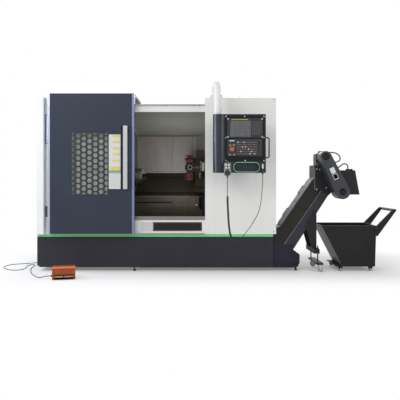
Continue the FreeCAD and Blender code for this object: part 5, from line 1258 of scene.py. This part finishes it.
def makeDriveGuard(look):
    front = look["front"]
    vents, bars = [], []
    for x, z in look["vents"]:
        vents.append((addRing, (x, front, z), forward, look["ventRing"], (-0.0002, 0.0014)))
        for rise in look["slots"]:
            half = math.sqrt(0.032 ** 2 - rise ** 2) - 0.0004
            vents.append((addBox, (x - half, x + half), (front + 0.0004, front + 0.0070),
                          (z + rise - look["slotHalf"], z + rise + look["slotHalf"])))
        vents.append((addTurned, (x, front, z), forward, [(0.0, 0.0325), (0.0005, 0.0325)], 36))
        for rise in look["bars"]:
            half = math.sqrt(0.031 ** 2 - rise ** 2)
            bars.append((addSheet, (x - half, x + half),
                         (z + rise - look["barHalf"], z + rise + look["barHalf"]),
                         0.0014, 2, front - 0.0016, front))
    asPiece("guardVents", "ventBlack", vents)
    asPiece("guardVentBars", "guardBlue", bars)
    (x0, z0), (x1, z1) = look["vents"]
    x, z = look["fieldAt"]
    place = Matrix.Translation((x, front, z)) @ Matrix.Rotation(-math.atan2(x1 - x0, z0 - z1), 4, "Y")
    for name, field in look["fields"].items():
        finish, proud = ("ventBlack", 0.0017) if name == "guardFieldDark" else ("cardPale", 0.0012)
        asPiece(name, finish, [(addSheet, *field, 0.003, 3, -proud, -0.0001)], place=place)
    repeatUnits("guardCoverScrews", screwUnit, "motorPaint", onFace(look["screws"], front), forward, 0.011,
                0.005, 12)


makeDriveGuard(guardLook)

motorLook = {
    "axis": (1.232, 1.278),
    "body": (-0.329, -0.198),
    "finCount": 32,
    "finRadius": (0.0635, 0.0705),
    "grilleRings": (0.016, 0.028, 0.040, 0.052),
    "grille": -0.168,
    "boxScrews": [(x, y, 1.366) for y in (-0.445, -0.387) for x in (1.187, 1.255)],
    "gearboxBolts": [(x, -0.482, z) for x in (1.154, 1.278) for z in (1.222, 1.326)],
    "footBolts": [(x, y, 1.206) for y in (-0.483, -0.327) for x in (1.176, 1.300)],
    "connectorRibs": [1.5095, 1.5490, 1.5585, 1.5680],
}


def makeMotorDetails(look):
    x, z = look["axis"]

    def spokes(count, wide, y, reach, step):
        turns = [Matrix.Translation((x, 0, z)) @ Matrix.Rotation(step * i, 4, "Y") for i in range(count)]
        return [(addBox, (-wide, wide), y, reach, turn) for turn in turns]
    asPiece("motorFins", "motorPaint", spokes(look["finCount"], 0.0013, look["body"], look["finRadius"],
                                              2.0 * math.pi / look["finCount"]))
    back = look["grille"]
    asPiece("motorGrille", "grilleBlack",
            [(addRing, (x, back, z), backward, (radius, radius + 0.0035), (-0.001, 0.0022))
                                           for radius in look["grilleRings"]]
            + spokes(6, 0.0016, (back - 0.001, back + 0.0016), (0.006, 0.055), math.pi / 3))
    repeatUnits("terminalBoxScrews", screwUnit, "zincSteel", look["boxScrews"], upward, 0.008, 0.004, 5)
    repeatUnits("gearboxBolts", boltUnit, "zincSteel", look["gearboxBolts"], forward, 0.013, 0.011, 6)
    repeatUnits("motorFootBolts", boltUnit, "zincSteel", look["footBolts"], upward, 0.012, 0.011, 8)
    asPiece("connectorRibs", "grilleBlack",
            [(addBox, (rib - 0.003, rib + 0.003), (-0.429, -0.371), (1.157, 1.1635))
                                             for rib in look["connectorRibs"]], bevel=0.0012)


makeMotorDetails(motorLook)
print("conveyor ready")


# chip cart and casters
cartLook = {
    "sides": (-0.545, -0.045),
    "rimX": (1.187, 1.816),
    "rimLine": 0.0035,
    "rimHeights": (0.5154, 0.5168),
    "slope": [(1.1985, 0.5060), (1.4265, 0.0630)],
    "slopeY": (-0.534, -0.056),
    "slopeThick": 0.0012,
    "grip": (2.022, -0.505, 0.691),
    "gripLength": 0.420,
    "gripRibs": 22,
    "gripRadii": (0.0151, 0.0153, 0.0158),
    "handleBolts": [(1.8075, 0.4180), (1.8085, 0.4900)],
    "boltInset": 0.0022,
}


def makeCartSheets(look):
    low, high = look["sides"]
    asPiece("cartEndSheet", "cartEnd",
            [(addPrism, leaningSheet(*look["slope"], look["slopeThick"]), *look["slopeY"])])
    width = look["rimLine"]
    left, right = look["rimX"]
    lines = [((left, right), y) for y in ((low, low + width), (high - width, high))]
    lines += [(x, (low, high)) for x in ((left, left + width), (right - width, right))]
    # pale lines round the tub rim: painted highlights
    asPiece("cartRimEdge", "foldEdge", [(addBox, x, y, look["rimHeights"]) for x, y in lines])
    end, groove, rib = look["gripRadii"]
    step = look["gripLength"] / look["gripRibs"]
    profile = [(0.0, end)]
    for i in range(look["gripRibs"]):
        profile += [(step * i + 0.001, rib), (step * (i + 1) - 0.004, rib), (step * (i + 1) - 0.002, groove)]
    profile.append((look["gripLength"], end))
    asPiece("cartGrip", "wheelRubber", [(addTurned, look["grip"], backward, profile, 24)])
    places, facings = [], []
    for y, facing in ((low + look["boltInset"], forward), (high - look["boltInset"], backward)):
        places += onFace(look["handleBolts"], y)
        facings += [facing] * len(look["handleBolts"])
    repeatUnits("cartHandleBolts", boltUnit, "cartPaint", places, facings, 0.014, 0.005, 4)


casterLook = {  # wheel centre, radius, half width, the sides it stands on and its body
    "leg": (1.168, 0.033, 0.033, 0.013, (-0.580, -0.160), "conveyor_leg_wheels"),
    "foot": (0.898, 0.024, 0.024, 0.008, (-0.5135, -0.1865), "conveyor_foot_wheels"),
    "cartLeft": (1.408, 0.023, 0.023, 0.012, (-0.511, -0.079), "cart_wheels_left"),
    "cartRight": (1.750, 0.023, 0.023, 0.012, (-0.511, -0.079), "cart_wheels_right"),
}
casterForkLook = {
    "outline": [(1.1425, 0.0815), (1.1935, 0.0815), (1.1795, 0.0215), (1.1565, 0.0215)],
    "reach": 0.020,
    "capped": {"leg": 0.0240, "cartLeft": 0.0230, "cartRight": 0.0230},
    "cap": [(-0.0006, 0.0105), (0.0020, 0.0105), (0.0050, 0.0080), (0.0056, 0.0040)],
}


def bothWays(sides):
    return [(y, way) for y in sides for way in (-1.0, 1.0)]


def makeCasters(wheels, fork):
    for name, (x, z, radius, half, sides, body) in wheels.items():
        profile = [(half - inset, radius * share) for inset, share in
                   ((0.0034, 0.20), (0.0034, 0.70), (0.0016, 0.70), (0.0016, 0.60), (0.0026, 0.56),
                    (0.0026, 0.54), (0.0022, 0.54))]
        asPiece(name + "HubDiscs", "casterCream", [(addTurned, (x, y, z), (0, way, 0), profile, 24)
                                                   for y, way in bothWays(sides)], body)
    plates = []
    for y, way in bothWays(wheels["leg"][4]):
        face = y + way * fork["reach"]
        plates.append((addPrism, fork["outline"], *sorted((face + way * 0.0002, face + way * 0.0014))))
    asPiece("casterForkPlates", "casterSteel", plates, bevel=0.0004, segments=1)
    caps = []
    for name, reach in fork["capped"].items():
        x, z, radius, half, sides, body = wheels[name]
        profile = [(reach + along, width) for along, width in fork["cap"]]
        caps += [(addTurned, (x, y, z), (0, way, 0), profile, 20) for y, way in bothWays(sides)]
    asPiece("casterCaps", "casterCream", caps)


makeCartSheets(cartLook)
makeCasters(casterLook, casterForkLook)

# foot switch
switchLook = {
    "place": (-1.614, -1.0197, 0.0),
    "turn": 13.7,
    "browX": (-0.116, 0.116),
    "brow": [(-0.0626, 0.1200), (-0.0626, 0.1220), (-0.0520, 0.1346), (-0.0440, 0.1346), (-0.0440, 0.1336),
             (-0.0500, 0.1336), (-0.0616, 0.1200)],
    "screws": [(x, y, 0.134) for y in (0.045, -0.035) for x in (-0.100, 0.100)],
    "gland": (-0.120, 0.036, 0.030),
    "glandNut": [(0.0, 0.0105), (0.008, 0.0105), (0.009, 0.0095), (0.0125, 0.0080)],
}


def makeSwitchDetails(look):
    place = Matrix.Translation(look["place"]) @ Matrix.Rotation(math.radians(look["turn"]), 4, "Z")
    asPiece("switchBrow", "browOrange", [(addPrism, look["brow"], *look["browX"], "X")], bevel=0.0003,
            segments=1, place=place)
    places = [tuple(place @ Vector(screw)) for screw in look["screws"]]
    repeatUnits("switchScrews", screwUnit, "zincSteel", places, upward, 0.008, 0.004, 4)
    outward = place.to_3x3() @ Vector((-1.0, 0.0, 0.0))
    asPiece("switchGlandNut", "grilleBlack",
            [(addTurned, place @ Vector(look["gland"]), outward, look["glandNut"], 6)])


makeSwitchDetails(switchLook)
print("cart and foot switch ready")

# back, ends and roof
cabinetLook = {
    "leafLeft": [-1.854, -1.0673, -0.2807],
    "leafWidth": 0.7747,
    "leafFace": 1.123,
    "leafHeight": (0.441, 1.765),
    "screwInset": 0.018,
    "hinges": [(x, 1.1155, z) for x in (-1.0733, -0.2867) for z in (0.560, 1.100, 1.640)],
    "knuckles": [(0.0, 0.05), (0.0, 0.11), (0.32, 0.11), (0.325, 0.09), (0.335, 0.09), (0.34, 0.11),
                 (0.66, 0.11), (0.665, 0.09), (0.675, 0.09), (0.68, 0.11), (1.0, 0.11), (1.0, 0.05)],
    "slotHeights": [0.620 + 0.020 * i for i in range(6)],
    "slotMiddle": 0.006,
    "slotHalf": 0.0885,
    "plate": ((0.150, 0.290), (1.470, 1.560)),
}


def makeCabinetDetails(look):
    face, lefts = look["leafFace"], look["leafLeft"]
    hinge = unitObject("hingeUnit", [(addTurned, origin, upward, look["knuckles"], 14)])
    repeatUnits("cabinetHinges", hinge, "trimAlloy", look["hinges"], upward, 0.045, 0.075, turnSpread=0.0)
    inset = look["screwInset"]
    low, high = look["leafHeight"]
    places = [(x, face, low + inset + (high - low - 2 * inset) * i / 5) for left in lefts
              for x in (left + inset, left + look["leafWidth"] - inset) for i in range(6)]
    repeatUnits("cabinetScrews", screwUnit, "coverPaint", places, backward, 0.011, 0.004, 9)
    gauze = []
    for left in lefts:
        middle = left + look["slotMiddle"] + look["leafWidth"] / 2
        gauze += [(addBox, (middle - look["slotHalf"], middle + look["slotHalf"]),
                   (face - 0.0094, face - 0.0080), (z + 0.0004, z + 0.0076)) for z in look["slotHeights"]]
    asPiece("cabinetGauze", "grilleBlack", gauze)
    (x0, x1), z = look["plate"]
    asPiece("cabinetPlates", "plateAlloy",
            [(addSheet, (left + x0, left + x1), z, 0.004, 3, face - 0.0002, face + 0.0010)
                                            for left in lefts])


makeCabinetDetails(cabinetLook)

endLook = {
    "leftX": -2.037,
    "rightX": 0.678,
    "leftHatch": ((-0.380, 0.520), (0.520, 1.800)),
    "rightHatch": ((-0.300, 0.480), (0.620, 1.780)),
    "rim": 0.010,
    "latchDish": [(-0.02, 0.5), (0.10, 0.5), (0.14, 0.46), (0.14, 0.38), (0.05, 0.34)],
    "latchKey": ((-0.30, 0.30), (-0.07, 0.07)),
    "latchInset": (0.045, 0.22),
    "barFlange": (0.025, 1.078),
    "flangeRadii": (0.0552, 0.082),
    "louvreRows": [1.560 + 0.028 * i for i in range(6)],
    "louvreY": ((-0.060, 0.085), (0.095, 0.240)),
    "hood": [(-0.001, 0.0), (0.004, 0.0), (0.011, 0.004), (0.002, 0.017), (-0.001, 0.018)],
    "cabinetEndX": 0.500,
    "isolator": (0.950, 1.380),
    "outlet": ((0.820, 1.060), (0.760, 1.000)),
    "outletRim": 0.016,
    "outletSlats": 11,
}


def makeEndHatches(look):
    left, right = look["leftX"], look["rightX"]
    asPiece("hatchRims", "whitePaint", [
        (addRim, *look["leftHatch"], look["rim"], (0.012, 0.006), 4, left - 0.0022, left + 0.001, "X"),
        (addRim, *look["rightHatch"], look["rim"], (0.012, 0.006), 4, right - 0.001, right + 0.0022, "X")],
        bevel=0.0008)
    latch = unitObject("latchUnit", [(addTurned, origin, upward, look["latchDish"], 28),
                                     (addSheet, *look["latchKey"], 0.06, 4, 0.04, 0.16, "Z")])
    beside, apart = look["latchInset"]
    for name, (y, z), x, way in (("leftLatches", look["leftHatch"], left, -1.0),
                                 ("rightLatches", look["rightHatch"], right, 1.0)):
        places = [(x, y[0] + beside, height) for height in (z[0] + apart, (z[0] + z[1]) / 2, z[1] - apart)]
        repeatUnits(name, latch, "zincSteel", places, (way, 0.0, 0.0), 0.034, 0.030, 2, turnSpread=0.0)
    centre, outward = (left, *look["barFlange"]), (-1.0, 0.0, 0.0)
    asPiece("barFlange", "trimAlloy", [(addRing, centre, outward, look["flangeRadii"], (-0.001, 0.007), 48)],
            bevel=0.001)
    places = [(left - 0.007, y, z) for y, z in onCircle(look["barFlange"], sum(look["flangeRadii"]) / 2, 6)]
    repeatUnits("barFlangeBolts", boltUnit, "zincSteel", places, outward, 0.012, 0.010)


def makeLouvres(look):
    right, hoods, gaps = look["rightX"], [], []
    for z in look["louvreRows"]:
        for start, end in look["louvreY"]:
            hoods.append((addPrism, [(right + x, z + rise) for x, rise in look["hood"]], start, end))
            gaps.append((addBox, (right + 0.0002, right + 0.0016), (start + 0.004, end - 0.004),
                         (z - 0.0040, z + 0.0002)))
    asPiece("endLouvres", "whitePaint", hoods, bevel=0.0012)
    asPiece("louvreGaps", "grilleBlack", gaps)


def makeCabinetEnd(look):
    x, (y, z), away = look["cabinetEndX"], look["isolator"], (1.0, 0.0, 0.0)
    asPiece("isolatorPlate", "panelBlack", [
        (addSheet, (y - 0.045, y + 0.045), (z - 0.055, z + 0.055), 0.008, 4, x - 0.001, x + 0.006, "X"),
        (addRing, (x, y, z), away, (0.0285, 0.0345), (0.005, 0.011))], bevel=0.0012)
    asPiece("isolatorHandle", "buttonRed", [
        (addTurned, (x, y, z), away, [(0.004, 0.026), (0.022, 0.024), (0.025, 0.021)]),
        (addSheet, (y - 0.0075, y + 0.0075), (z - 0.034, z + 0.034), 0.006, 4, x + 0.020, x + 0.040, "X")],
        bevel=0.0015)
    y, z = look["outlet"]
    rim, count = look["outletRim"], look["outletSlats"]
    slats = [(addRim, y, z, rim, (0.010, 0.005), 4, x - 0.001, x + 0.012, "X")]
    pitch = (z[1] - z[0] - 0.040) / count
    for i in range(count):
        low = z[0] + 0.020 + pitch * i
        slats.append((addBox, (x + 0.001, x + 0.010), (y[0] + 0.014, y[1] - 0.014),
                      (low, low + pitch * 0.45)))
    asPiece("filterOutlet", "cardPale", slats, bevel=0.0008, segments=1)
    asPiece("filterGauze", "grilleBlack",
            [(addSheet, (y[0] + rim, y[1] - rim), (z[0] + rim, z[1] - rim), 0.005, 4,
                                            x + 0.0001, x + 0.0012, "X")])


makeEndHatches(endLook)
makeLouvres(endLook)
makeCabinetEnd(endLook)

roofLook = {
    "eyes": [(x, y, 2.001) for y in (0.060, 0.560) for x in (0.030, 0.520)],
    "eyeFoot": [(-0.02, 0.34), (0.12, 0.34), (0.20, 0.22), (0.24, 0.20), (0.24, 0.0)],
    "eyeHeight": 0.56,
    "eyeRadii": (0.30, 0.09),
    "seams": [((0.2740, 0.2760), (-0.500, 0.690), (2.000, 2.0022)),
              ((-1.520, -1.518), (-0.100, 0.690), (1.966, 1.9682))],
    "ventX": (-0.1285, 0.0895),
    "ventY": (0.6920, 0.7040),
    "ventZ": (1.7855, 1.8725),
    "ventRim": 0.008,
    "slatPitch": 0.0105,
}


def addTorus(bm, height, radii, segments, around):  # a standing ring in the XZ plane
    rings = []
    for i in range(segments):
        angle = 2 * math.pi * i / segments
        rings.append([bm.verts.new((reach * math.cos(angle), side, height + reach * math.sin(angle)))
                      for reach, side in onCircle((radii[0], 0.0), radii[1], around)])
    joinLoops(bm, rings + rings[:1])


def makeRoofDetails(look):
    eye = unitObject("eyeUnit", [(addTurned, origin, upward, look["eyeFoot"], 20),
                                 (addTorus, look["eyeHeight"], look["eyeRadii"], 20, 8)])
    repeatUnits("liftingEyes", eye, "zincSteel", look["eyes"], upward, 0.060, 0.060, 5)
    asPiece("roofSeams", "coverPaint", [(addBox, *seam) for seam in look["seams"]])


def makeChamberVent(look):  # louvred grille in the gap above the cabinet
    x, (low, high), z, rim = look["ventX"], look["ventY"], look["ventZ"], look["ventRim"]
    slats = [(addRim, x, z, rim, (0.003, 0.002), 2, low, high)]
    middle = z[0] + rim + look["slatPitch"] / 2
    while middle < z[1] - rim:
        slat = [(low + 0.0005, middle + 0.0055), (low + 0.0020, middle + 0.0060),
                (high - 0.0005, middle - 0.0050), (high - 0.0020, middle - 0.0055)]
        slats.append((addPrism, slat, x[0] + rim, x[1] - rim, "X"))
        middle += look["slatPitch"]
    asPiece("chamberVent", "whitePaint", slats, bevel=0.0006, segments=1)


makeRoofDetails(roofLook)
makeChamberVent(roofLook)
print("back and roof ready")


for unit in unitsMade:
    bpy.data.objects.remove(unit)

print("all pieces ready")
